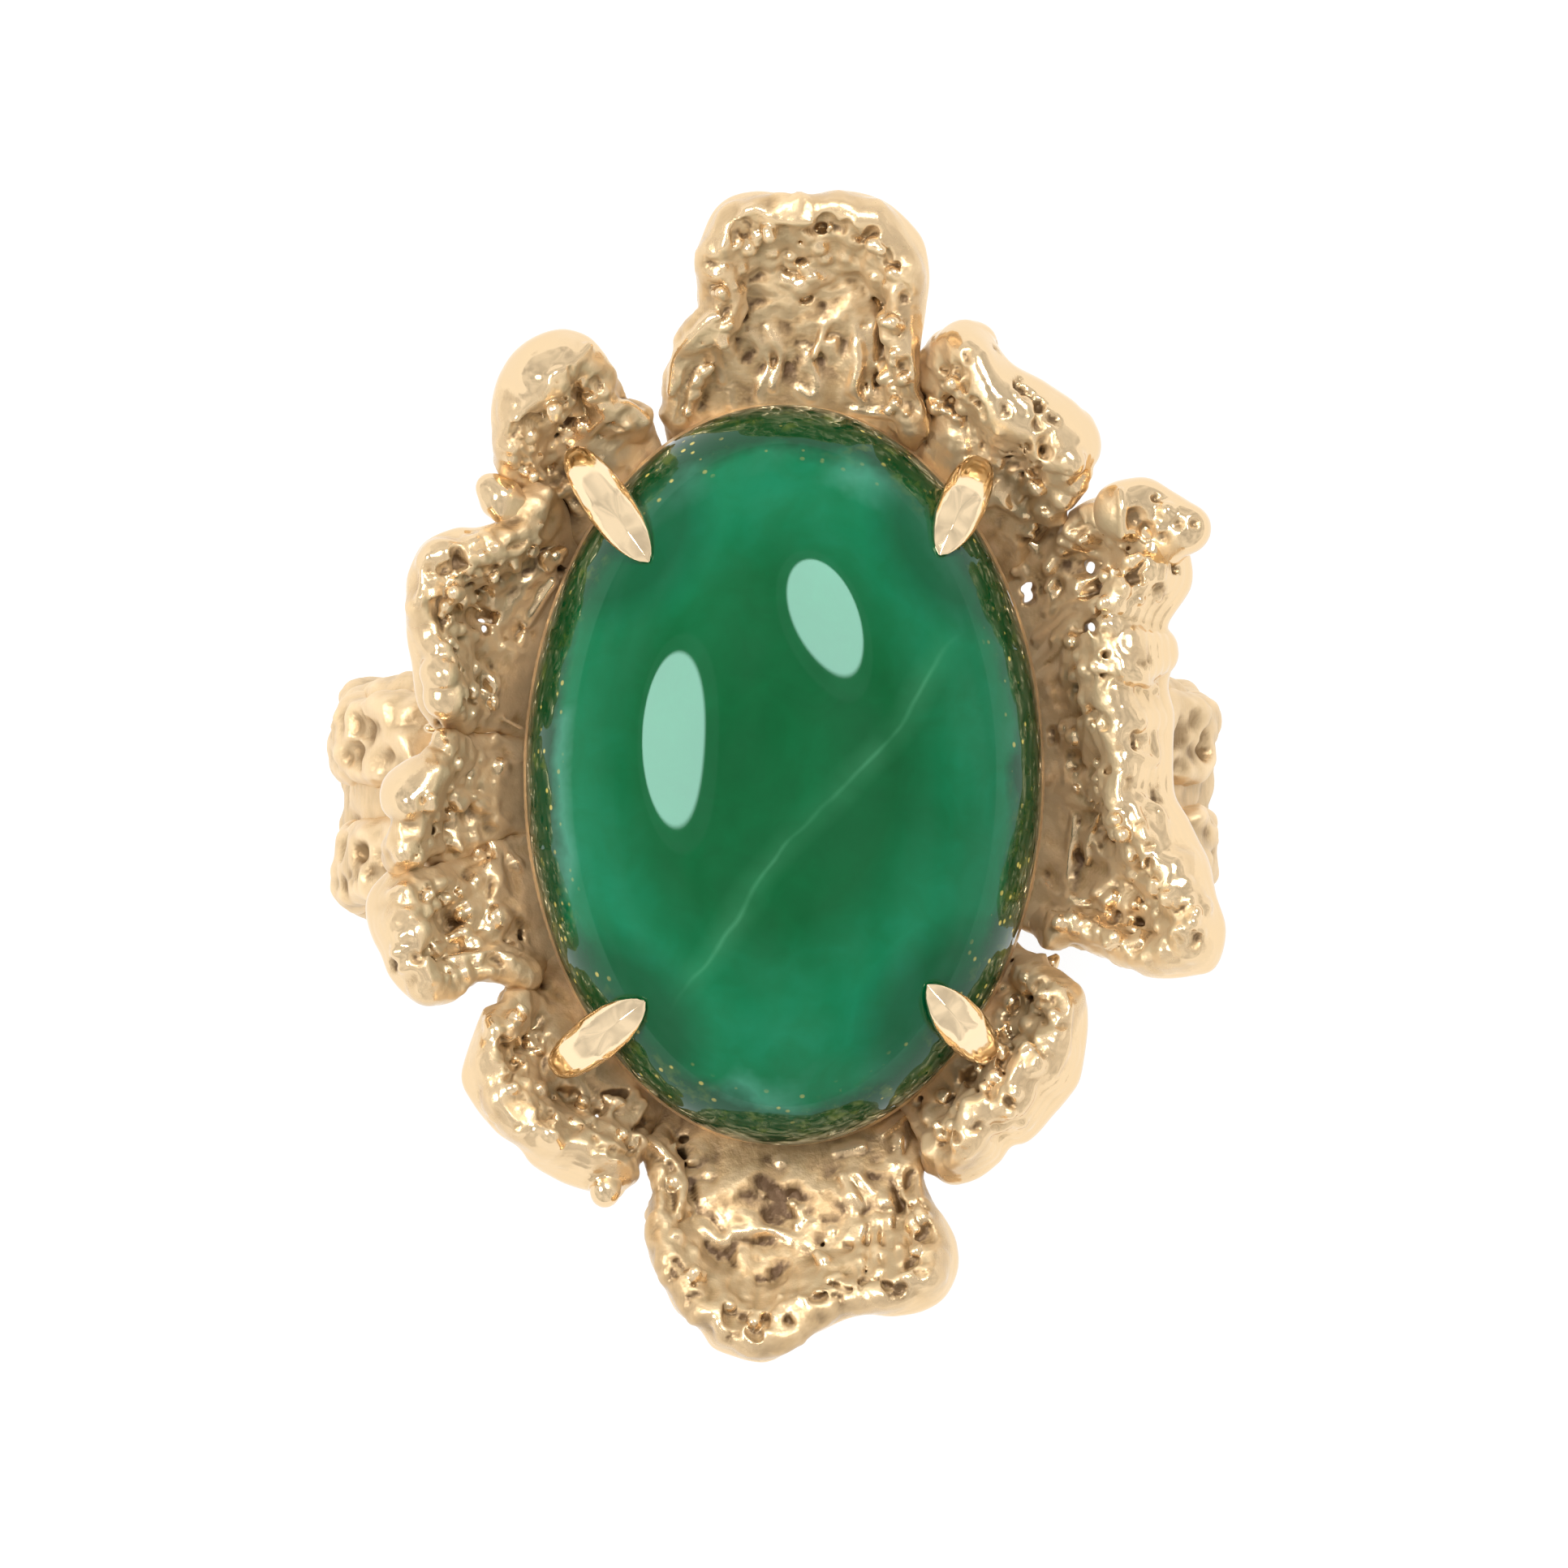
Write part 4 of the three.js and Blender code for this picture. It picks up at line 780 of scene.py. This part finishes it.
def petal_sheet(petal, spacing, ragged):
    """The root line, the crest of the rim and the foot of its outer slope, from one side to the other."""
    edge = smooth_path(petal["edge"], 600)
    length = np.concatenate([[0], np.cumsum(np.linalg.norm(np.diff(edge, axis=0), axis=1))])
    across = int(length[-1] / spacing) + 1
    even = np.linspace(0, length[-1], across)
    edge = np.stack([np.interp(even, length, edge[:, i]) for i in range(2)], axis=1)
    tangent = np.gradient(edge, axis=0)
    turns = np.unwrap(np.arctan2(edge[[0, -1], 1] / ROOTS[1], edge[[0, -1], 0] / ROOTS[0]))
    facing = 1 if turns[1] > turns[0] else -1
    inward = facing * np.stack([-tangent[:, 1], tangent[:, 0]], axis=1)
    inward /= np.linalg.norm(inward, axis=1)[:, None]
    half = spread(petal["half"], across)[:, None]
    slope = spread(petal["slope"], across)[:, None]
    high = spread(petal["high"], across)[:, None]
    jagged = spread(ragged[:int(length[-1] / JAG_SPACING) + 2], across)[:, None]
    crest = np.hstack([edge + inward * (half + slope + 0.3 * jagged * half), high, half])
    skirt = np.hstack([edge + inward * half, high - 0.2 - 1.1 * slope, half])
    turn = np.linspace(turns[0], turns[1], across)
    root = np.stack([(ROOTS[0] + WALL_HALF) * np.cos(turn), (ROOTS[1] + WALL_HALF) * np.sin(turn),
                     saddle_z(ROOTS[0] * np.cos(turn)) + 0.05], axis=1)
    return root, crest, skirt


def add_features(clay, petal):
    """Lays a petal's own ridges, beads, bead rings and pits on its surface."""
    for radius, points in petal["ridges"]:
        path = smooth_path(points, 4 * len(points))
        tops = np.array([clay.top(x, y) for x, y in path])
        tops = np.convolve(np.pad(tops, 2, mode="edge"), np.ones(5) / 5, mode="valid")
        clay.stroke(np.column_stack([path, tops, np.full(len(path), radius)]), 0.12, shine=0.85)
    for x, y, radius in petal["lumps"]:
        lean = 5 * x - 4 * y
        side_x = x + 0.8 * radius * math.cos(lean)
        side_y = y + 0.8 * radius * math.sin(lean)
        pair = [clay.resting(x, y, -0.2 * radius), clay.resting(side_x, side_y, -0.3 * radius)]
        clay.balls(pair, [0.92 * radius, 0.6 * radius], 0.14, shine=0.85)
    for x, y, z, radius in petal.get("drops", []):
        clay.balls([(x, y, z)], [radius], 0.15, shine=1.0)
    for x, y, ring, radius in petal.get("rings", []):
        turn = np.linspace(0, 2 * math.pi, 8)[:-1]
        turn += 0.35 * np.sin(3 * turn + x)
        spots = [(x + ring * math.cos(t), y + ring * math.sin(t)) for t in turn]
        sizes = radius * (1 + 0.35 * np.sin(2 * turn + y))
        clay.balls([clay.resting(px, py, 0) for px, py in spots], sizes, 0.1, shine=0.9)
    for x, y, radius in petal["pits"]:
        gouge = []
        for reach in (-1.3, -0.4, 0.5, 1.4):
            lean = 7 * x + 3 * y + 0.5 * reach
            away_x, away_y = reach * radius * math.cos(lean), reach * radius * math.sin(lean)
            gouge.append(clay.resting(x + away_x, y + away_y, 0.25 * radius))
        clay.balls(gouge, np.array([0.4, 0.75, 0.85, 0.45]) * radius, 0.08, shine=0.1, cut=True)


def pierce(clay, holes):
    """Gaps that let light straight down between the lobes."""
    for x, y, radius in holes:
        depth = np.arange(clay.axes[2][0], clay.axes[2][-1], 0.5 * radius)
        for part, size in ((0.0, 0.85), (0.8, 0.6)):
            way_x = x + radius * part * math.cos(9 * x) + 0.05 * np.sin(9 * depth)
            way_y = y + radius * part * math.sin(9 * x) + 0.05 * np.cos(7 * depth)
            column = np.column_stack([way_x, way_y, depth])
            clay.balls(column, size * radius, 0.08, shine=0.2, cut=True)


def trim_rim(clay, root, crest, chance, calm, groove):
    """Breaks dark grooves and bright nuggets into the inner side of the rim, where the wall meets it."""
    inward = root[:, :2] - crest[:, :2]
    inward /= np.linalg.norm(inward, axis=1)[:, None]
    count = len(crest)
    start = chance.integers(0, 8)
    while start < count - 8:
        run = np.arange(start, min(start + chance.integers(8, 20), count - 2), 2)
        drift = 0.85 + 0.3 * np.sin(run + start)
        spots = crest[run, :2] + inward[run] * (crest[run, 3] * drift)[:, None]
        tops = [clay.top(x, y) for x, y in spots]
        if len(run) > 2:
            widths = np.full(len(run), groove * chance.uniform(0.07, 0.14))
            clay.stroke(np.column_stack([spots, tops, widths]), 0.05, shine=0.1, cut=True)
        start = run[-1] + chance.integers(3, 14)
    for _ in range(int(RIM_NUGGETS * count * calm)):
        column = chance.integers(3, count - 3)
        past_crest = crest[column, 3] + 0.9 * chance.uniform(0.05, 1) ** 2
        x, y = crest[column, :2] + inward[column] * past_crest
        radius = 0.09 * 2.6 ** chance.uniform(0, 1)
        centre = np.array(clay.resting(x, y, 0.2 * radius))
        beside = centre + chance.uniform(-0.9, 0.9, 3) * radius * (1, 1, 0.4)
        clay.balls([centre, beside], [radius, 0.7 * radius], 0.06, shine=0.75)


def sculpt_petal(name, petal, seed):
    """Builds the inner wall, the rim and its outer slope, then the grain and the petal's own features."""
    chance = np.random.default_rng(seed)
    ragged = chance.uniform(-1, 1, 80)
    root, crest, skirt = petal_sheet(petal, WALL_SPACING, ragged)
    across = len(crest)
    low = np.minimum(root.min(0), skirt[:, :3].min(0)) - 1.2
    high = np.maximum(root.max(0), crest[:, :3].max(0)) + 1.2
    clay = Clay(low, high)

    def on_wall(column, height):
        rise = np.interp(height, *WALL_SHAPE)
        return root[column] + (crest[column, :3] - root[column]) * np.array([height, height, rise])

    wall_heights = np.linspace(0, 1, WALL_ROWS)
    wall = [on_wall(slice(None), height) for height in wall_heights]
    wall_half = [np.full(across, WALL_HALF + 0.06 * height) for height in wall_heights]
    clay.balls(np.concatenate(wall), np.concatenate(wall_half), 0.1)
    calm = petal.get("calm", 1.0)
    clay.roughen(FOLDS, seed, scale=calm)
    for _ in range(int(CRUMPLES * calm)):
        column = chance.integers(2, across - 2)
        height = chance.uniform(0.45, 0.98)
        radius = 0.1 * 2.6 ** chance.uniform(0, 1)
        offset = chance.normal(0, 0.08, 3) + (0, 0, WALL_HALF - 0.55 * radius)
        if chance.uniform() < 0.45:
            lean = chance.uniform(-0.35, 0.35, 3) * (1, 1, 0)
            drip = [on_wall(column, height - part) + offset + lean * part * 6
                    for part in (0.0, 0.05, 0.11)]
            clay.stroke([(*spot, radius * 0.7) for spot in drip], 0.1, shine=0.45)
        else:
            beside = chance.uniform(-1.1, 1.1, 3) * radius * (1, 1, 0.3)
            middle = on_wall(column, height) + offset
            chain = [middle, middle + beside, middle + 1.8 * beside]
            clay.balls(chain, [radius, 0.8 * radius, 0.5 * radius], 0.1, shine=0.45,
                       cut=chance.uniform() < 0.3)
    root, crest, skirt = petal_sheet(petal, RIM_SPACING, ragged)
    wave = np.linspace(0, 1, len(crest))
    swell = 1 + 0.1 * np.sin(9 * wave + seed)
    lift = 0.08 * np.sin(19 * wave + 3 * seed)
    flank = []
    for share in np.linspace(0, 1, 6):
        row = skirt + (crest - skirt) * share
        row[:, 2] += lift + 0.25 * share * (1 - share) + 0.3 * share * row[:, 3]
        row[:, 3] *= swell * (1 - 0.35 * share)
        flank.append(row)
    flank = np.concatenate(flank)
    clay.balls(flank[:, :3], flank[:, 3], 0.2, shine=1.0)
    for x, y in crest[[0, -1], :2]:
        away = np.hypot(clay.axes[0][:, None, None] - x, clay.axes[1][None, :, None] - y)
        clay.shine *= np.clip(away / 1.3, 0.1, 1).astype(np.float32)
    clay.roughen(RIM_GRAIN, seed + 20, petal.get("sleek", 0.6))
    clay.roughen(FACETS, seed + 30, 0.25, scale=calm)
    add_features(clay, petal)
    trim_rim(clay, root, crest, chance, calm, petal.get("groove", 1.0))
    clay.roughen(CREASES, seed + 50, 0.0, creased=True, scale=calm)
    clay.roughen(FINE_GRAIN, seed + 40, 0.0)
    pierce(clay, petal.get("holes", []))
    piece = cast(clay, name + "_casting", CAST_GOLD, painted_shade=petal.get("painted_shade", 0.0))
    install(piece, [name])


def build_petals():
    for seed, (name, petal) in enumerate(PETALS.items()):
        sculpt_petal(name, petal, seed + 1)


# ---- Band ----

def band_blend(turn, right, top, left, foot):
    """A size of the band at each angle round the finger, blended from its size at four places."""
    side, up = np.cos(turn), np.sin(turn)
    return np.where(side > 0, right, left) * side**2 + np.where(up > 0, top, foot) * up**2


def build_band():
    """A hoop with rounded corners, smooth inside and rough cast outside."""
    clay = Clay((-12.3, -4.6, -11.6), (12.0, 4.3, 11.2), 0.1)
    x, y, z = (axis.astype(np.float32) for axis in clay.axes)
    x, y, z = x[:, None, None], y[None, :, None], z[None, None, :]
    turn = np.arctan2(z, x)
    radius = np.hypot(x, z)
    wall = band_blend(turn, **BAND_THICK)
    half = 0.5 * band_blend(turn, **BAND_WIDE)
    shift = -0.6 * np.cos(turn) ** 2
    middle = BORE_R + wall / 2
    corner_r = 0.7
    out = np.abs(radius - middle) - (wall / 2 - corner_r)
    side = np.abs(y - shift) - (half - corner_r)
    flats = np.minimum(np.maximum(out, side), 0)
    away = np.hypot(np.maximum(out, 0), np.maximum(side, 0)) + flats - corner_r
    clay.depth[:] = np.clip(away, -FAR, FAR)
    outside = np.clip((radius - BORE_R - 0.5) / 0.6, 0, 1)
    for turn_seed, (size, height) in enumerate(((2.4, 0.38), (1.2, 0.3), (0.6, 0.2), (0.3, 0.09))):
        clay.depth += height * outside * clay.grain(size, 90 + turn_seed)
    clay.depth = np.maximum(clay.depth, BORE_R - radius).astype(np.float32)
    clay.shine[:] = np.clip(1 - outside * 2, 0, 1)
    piece = cast(clay, "shank_casting", BAND_GOLD)
    install(piece, ["shank"])


# ---- Stone, rails and claws ----

def build_stone():
    """A cabochon: a flat base, a chamfer up to the girdle and a dome a little fuller than an ellipse."""
    rings, sides = 72, 160
    angle = np.linspace(0, math.pi / 2, rings)
    radius = np.cos(angle) ** (2 / DOME_FULLNESS)
    height = STONE_DOME * np.sin(angle) ** (2 / DOME_FULLNESS)
    radius = np.concatenate([[0.0001, 0.6, 0.9, 0.93, 0.96], radius[:-1], [0.0001]])
    height = np.concatenate([[-1.0, -1.0, -1.0, -0.93, -0.6], height])
    turn = np.linspace(0, 2 * math.pi, sides, endpoint=False)
    points = np.stack([np.outer(radius, np.cos(turn)) * STONE_HALF[0],
                       np.outer(radius, np.sin(turn)) * STONE_HALF[1],
                       np.repeat(height[:, None], sides, 1) + GIRDLE_Z], axis=2).reshape(-1, 3)
    piece = new_object("cabochon", points, tube_faces(len(radius), sides), STONE_GREEN)
    install(piece, ["stone"])


def crown_z(x, y):
    """Height of the stone's dome over the plan."""
    inside = np.clip(1 - np.hypot(x / STONE_HALF[0], y / STONE_HALF[1]) ** DOME_FULLNESS, 0, 1)
    return GIRDLE_Z + STONE_DOME * inside ** (1 / DOME_FULLNESS)


# Each claw in plan: where it leaves its shoulder, and its tip on the dome.
CLAWS = {
    "claw_upper_left": ((-5.15, 7.85), (-3.25, 5.13)),
    "claw_upper_right": ((4.75, 7.55), (3.75, 5.3)),
    "claw_lower_left": ((-5.5, -7.1), (-3.35, -5.45)),
    "claw_lower_right": ((4.95, -6.8), (3.45, -5.05)),
}


def build_claw(name, shoulder, tip):
    """A marquise-shaped blade over the girdle, with a flat facet and a ridged point, on a round post."""
    (sx, sy), (tx, ty) = shoulder, tip
    foot = 1 / math.hypot(sx / (ROOTS[0] + 0.42), sy / (ROOTS[1] + 0.42))

    def over_stone(share, lift):
        x, y = sx + (tx - sx) * share, sy + (ty - sy) * share
        return (x, y, float(crown_z(x, y)) + lift)

    path = [(sx * foot, sy * foot, float(saddle_z(sx * foot)) + 0.2), (sx * 0.93, sy * 0.93, 12.3),
            (sx * 0.985, sy * 0.985, GIRDLE_Z - 0.4),
            (sx + 0.12 * (tx - sx), sy + 0.12 * (ty - sy), GIRDLE_Z + 1.15),
            over_stone(0.58, 0.85), over_stone(0.8, 0.42), over_stone(1.0, 0.06)]
    rings = 72
    fine_line = smooth_path(path, 600)
    length = np.concatenate([[0], np.cumsum(np.linalg.norm(np.diff(fine_line, axis=0), axis=1))])
    even = np.linspace(0, length[-1], rings)
    line = np.stack([np.interp(even, length, fine_line[:, i]) for i in range(3)], axis=1)
    for _ in range(30):
        line[1:-1] += 0.5 * (0.5 * (line[:-2] + line[2:]) - line[1:-1])
    tangent = np.gradient(line, axis=0)
    tangent /= np.linalg.norm(tangent, axis=1)[:, None]
    side = np.array([ty - sy, sx - tx, 0.0])
    side /= np.linalg.norm(side)
    outward = np.cross(side, tangent)
    outward *= np.sign(outward[-10, 2])
    # Width, facet share and thickness from the foot to the tip.
    along = np.linspace(0, 1, rings)
    width = np.interp(along, [0, 0.3, 0.44, 0.5, 0.58, 0.7, 0.8, 0.88, 0.93, 0.965, 0.985, 1.0],
                      [0.8, 0.7, 0.4, 0.5, 0.86, 1.14, 1.24, 1.14, 0.92, 0.64, 0.4, 0.06])
    facet = np.interp(along, [0, 0.45, 0.55, 0.65, 0.8, 0.87, 1.0],
                      [0.5, 0.3, 0.5, 0.66, 0.6, 0.02, 0.02])
    thick = np.interp(along, [0, 0.4, 0.47, 0.6, 0.8, 0.92, 1.0], [0.8, 0.7, 0.5, 0.7, 0.8, 0.6, 0.08])
    section = []
    for w, f, t in zip(width, facet, thick):
        right = [(0.42 * w, -0.5 * t), (0.5 * w, 0.004 * t), (0.5 * w * f, 0.5 * t)]
        section.append([(-across, up) for across, up in right[::-1]] + right)
    section = np.array(section)
    # Cutting the section's corners twice rounds its edges.
    for _ in range(2):
        after = np.roll(section, -1, axis=1)
        section = np.stack([0.8 * section + 0.2 * after, 0.2 * section + 0.8 * after], axis=2)
        section = section.reshape(rings, -1, 2)
    points = line[:, None, :] + section[:, :, :1] * side + section[:, :, 1:] * outward[:, None, :]
    points = points.reshape(-1, 3)
    sides = section.shape[1]
    piece = new_object(name + "_blade", points, tube_faces(rings, sides), POLISHED_GOLD)
    outward_faces(piece)
    layer = piece.data.attributes.new("shine", "FLOAT", "POINT")
    worn = np.interp(along, [0, 0.42, 0.5], [0.1, 0.2, 1]).astype(np.float32)
    layer.data.foreach_set("value", np.repeat(worn, sides))
    piece.data.set_sharp_from_angle(angle=math.radians(50))
    install(piece, [name])


def outward_faces(piece):
    """Makes every face point out of a closed mesh."""
    work = bmesh.new()
    work.from_mesh(piece.data)
    bmesh.ops.recalc_face_normals(work, faces=work.faces)
    work.to_mesh(piece.data)
    work.free()


def build_rail(node, half, rise, thick, drop, seed, sizes):
    """A closed oval wire with a little casting grain. Rise gives its height over each place across."""
    turn = np.linspace(0, 2 * math.pi, 220, endpoint=False)
    x, y = half[0] * np.cos(turn), half[1] * np.sin(turn)
    path = np.stack([x, y, rise(x)], axis=1)
    clay = Clay(path.min(0) - 1.2, path.max(0) + 1.2, VOXEL * 1.1)
    clay.balls(path - (0, 0, drop), thick / 2, 0.05, shine=0.3)
    clay.roughen(sizes, seed, 0.6)
    install(cast(clay, node + "_casting", CAST_GOLD), [node])


def build_rails():
    """The flat strip under the stone's edge and the wire that the claws and petals stand on."""
    gap, half_height = 0.05, 0.4
    overhang, half_width = 0.13, 0.42
    seat_z = GIRDLE_Z - STONE_BASE - gap - half_height
    seat_half = [half + overhang - half_width for half in STONE_HALF]
    build_rail("seat_rail", seat_half, lambda x: np.full(len(x), seat_z), 0.78, 0.02, 60,
               [(0.9, 0.05), (0.3, 0.02)])
    build_rail("base_rail", BASE_RAIL, saddle_z, 1.1, 0, 64, [(1.2, 0.06), (0.4, 0.03)])


def build_knobs():
    """The melted granules between petals: a large pitted one at the right, a small one at the left."""
    right = Clay((6.6, 4.6, 12.6), (11.3, 8.2, 16.8))
    for x, y, z, radius in ((8.25, 6.4, 14.5, 0.78), (8.75, 6.65, 14.4, 0.6), (9.3, 6.35, 14.4, 0.55),
                            (9.75, 6.0, 14.6, 0.66), (9.2, 5.6, 14.2, 0.6)):
        right.balls([(x, y, z)], [radius], 0.35, shine=1.0)
    right.roughen([(1.1, 0.1), (0.5, 0.05)], 70, 0.8)
    for x, y, radius in ((9.3, 6.4, 0.24), (9.1, 6.0, 0.2), (8.8, 5.7, 0.16)):
        right.balls([right.resting(x, y, 0)], [radius], 0.1, shine=1.0)
    for x, y, radius in ((8.55, 6.2, 0.32), (8.8, 5.95, 0.22), (9.0, 6.7, 0.1), (9.55, 6.1, 0.14),
                         (9.95, 6.1, 0.12), (9.2, 5.75, 0.14), (8.2, 6.0, 0.08)):
        right.balls([right.resting(x, y, 0.1 * radius)], [radius], 0.08, shine=0.3, cut=True)
    right.stroke([(8.15, 6.9, 15.15, 0.09), (8.2, 6.4, 15.3, 0.1), (8.2, 5.8, 15.0, 0.1)], 0.1, shine=1.0)
    right.roughen([(0.3, 0.03)], 72, 0.5)
    install(cast(right, "knob_right_casting", CAST_GOLD), ["knob_right"])
    left = Clay((-8.4, 5.4, 12.4), (-5.6, 8.1, 15.2))
    for x, y, z, radius in ((-6.9, 6.75, 13.85, 0.56), (-7.15, 7.0, 13.9, 0.36), (-6.6, 6.4, 13.9, 0.3),
                            (-6.45, 6.65, 14.0, 0.2), (-6.9, 6.35, 14.1, 0.22)):
        left.balls([(x, y, z)], [radius], 0.16, shine=0.9)
    left.roughen([(0.5, 0.1), (0.2, 0.05)], 75, 0.5)
    install(cast(left, "knob_left_casting", CAST_GOLD), ["knob_left"])


# Each nugget: its angle round the finger, place along it, the band's thickness there, and its size.
SHOULDER_TURN = 0.42
NUGGET_REACH = 0.17
SHOULDERS = {
    "shoulder_nugget_left_upper": (math.pi - SHOULDER_TURN, 0.9, BAND_THICK["left"], 1.35),
    "shoulder_nugget_left_lower": (math.pi - SHOULDER_TURN, -2.2, BAND_THICK["left"], 1.2),
    "shoulder_nugget_right_upper": (SHOULDER_TURN, 0.9, BAND_THICK["right"], 1.3),
    "shoulder_nugget_right_lower": (SHOULDER_TURN, -1.95, BAND_THICK["right"], 1.15),
}


def build_shoulders():
    """Lumps on the band's shoulders, dimpled all over."""
    for seed, (name, (turn, along, wall, size)) in enumerate(SHOULDERS.items()):
        radius = BORE_R + wall + 0.05
        spots = np.linspace(-NUGGET_REACH, NUGGET_REACH, 31)
        crown = radius - 8.8 * spots**2
        chain = np.stack([crown * np.cos(turn + spots), np.full(len(spots), along),
                          crown * np.sin(turn + spots)], axis=1)
        clay = Clay(chain.min(0) - 2.0, chain.max(0) + 2.0)
        for shift in (-0.45, 0.0, 0.45):
            lane = chain + np.array([0, shift * size, 0])
            clay.balls(lane, 0.62 - 0.1 * abs(shift), 0.3, shine=0.25)
        chance = np.random.default_rng(200 + seed)
        for _ in range(18):
            spot = turn + chance.uniform(-NUGGET_REACH, NUGGET_REACH)
            across = along + chance.uniform(-0.8, 0.8) * size
            outside = radius + 0.66
            place = np.array([outside * math.cos(spot), across, outside * math.sin(spot)])
            hole = chance.uniform(0.14, 0.32)
            beside = chance.uniform(-1, 1, 3) * hole
            clay.balls([place, place + beside], [hole, 0.7 * hole], 0.15, shine=0.2, cut=True)
        clay.roughen([(0.9, 0.26), (0.45, 0.2), (0.22, 0.08)], 80 + seed, 0.6)
        install(cast(clay, name + "_casting", BAND_GOLD), [name])


build_petals()
build_band()
build_shoulders()
build_knobs()
build_rails()
build_stone()
for claw_name, (claw_shoulder, claw_tip) in CLAWS.items():
    build_claw(claw_name, claw_shoulder, claw_tip)


# ---- Studio ----

def build_floor():
    """A white sheet under the ring, which glows a little so that it stays white beneath it."""
    half = 1.5
    low = cad_box[0][2] - 0.0002
    mesh = bpy.data.meshes.new("floor")
    mesh.from_pydata([(-half, -half, low), (half, -half, low), (half, half, low), (-half, half, low)],
                     [], [(0, 1, 2, 3)])
    floor = bpy.data.objects.new("floor", mesh)
    bpy.context.scene.collection.objects.link(floor)
    material = bpy.data.materials.new("floor_white")
    material.use_nodes = True
    shader = material.node_tree.nodes["Principled BSDF"]
    shader.inputs["Base Color"].default_value = (0.16, 0.16, 0.16, 1)
    shader.inputs["Roughness"].default_value = 0.9
    shader.inputs["Emission Color"].default_value = (1, 1, 1, 1)
    shader.inputs["Emission Strength"].default_value = 0.84
    mesh.materials.append(material)


# Each softbox is an oval on a flat ceiling: its centre, half sizes and tilt, per unit of height.
SOFTBOXES = ((-0.72, 0.13, 0.35, 0.275, -0.43), (0.25, 0.5, 0.23, 0.27, 0.5))
SOFTBOX_LIGHT = 14.5
HALO_LIGHT = 0.3


def build_world():
    """A white tent with soft folds, a dimmer ceiling and two softboxes in it."""
    world = bpy.data.worlds.new("studio")
    bpy.context.scene.world = world
    world.use_nodes = True
    n = Nodes(world.node_tree)
    way = n.add("ShaderNodeTexCoord").outputs["Generated"]
    parts = n.add("ShaderNodeSeparateXYZ", {"Vector": way})
    up = n.math("MAXIMUM", parts.outputs["Z"], 0.02)
    x = n.over(parts.outputs["X"], up)
    y = n.over(parts.outputs["Y"], up)

    def ellipse(centre_x, centre_y, half_x, half_y, tilt, inner, outer):
        c, s = math.cos(tilt), math.sin(tilt)
        dx, dy = n.minus(x, centre_x), n.minus(y, centre_y)
        a = n.over(n.plus(n.times(dx, c), n.times(dy, s)), half_x)
        b = n.over(n.minus(n.times(dy, c), n.times(dx, s)), half_y)
        return n.scale(n.length(a, b), inner, outer, 1.0, 0.0)

    ceiling = ellipse(-0.1, 0.08, 1.6, 0.78, 0.0, 0.6, 1.3)
    folds = n.scale(n.noise(way, 2.6, 2.0), 0.35, 0.62, 0.66, 1.0)
    level = n.times(folds, n.minus(1.0, n.times(ceiling, 0.17)))
    for box in SOFTBOXES:
        level = n.plus(level, n.times(ellipse(*box, 0.94, 1.0), SOFTBOX_LIGHT))
        level = n.plus(level, n.times(ellipse(*box, 1.22, 1.26), HALO_LIGHT))
    background = n.add("ShaderNodeBackground", {"Color": (1, 1, 1, 1), "Strength": level})
    out = n.add("ShaderNodeOutputWorld")
    n.tree.links.new(background.outputs[0], out.inputs[0])


def build_camera():
    """Looks straight down on the stone from the distance of a product photograph."""
    camera = bpy.data.cameras.new("camera")
    sensor_width = 36
    camera.sensor_width = sensor_width
    distance = 0.35
    frame_width = 0.0381
    frame_middle = -0.217 * MM
    camera.lens = sensor_width * distance / frame_width
    camera.clip_start = 0.01
    camera.clip_end = 10
    seat = bpy.data.objects.new("camera", camera)
    seat.location = (0, frame_middle, GIRDLE_Z * MM + distance)
    bpy.context.scene.collection.objects.link(seat)
    bpy.context.scene.camera = seat


build_floor()
build_world()
build_camera()
bpy.context.scene.view_settings.view_transform = "Standard"
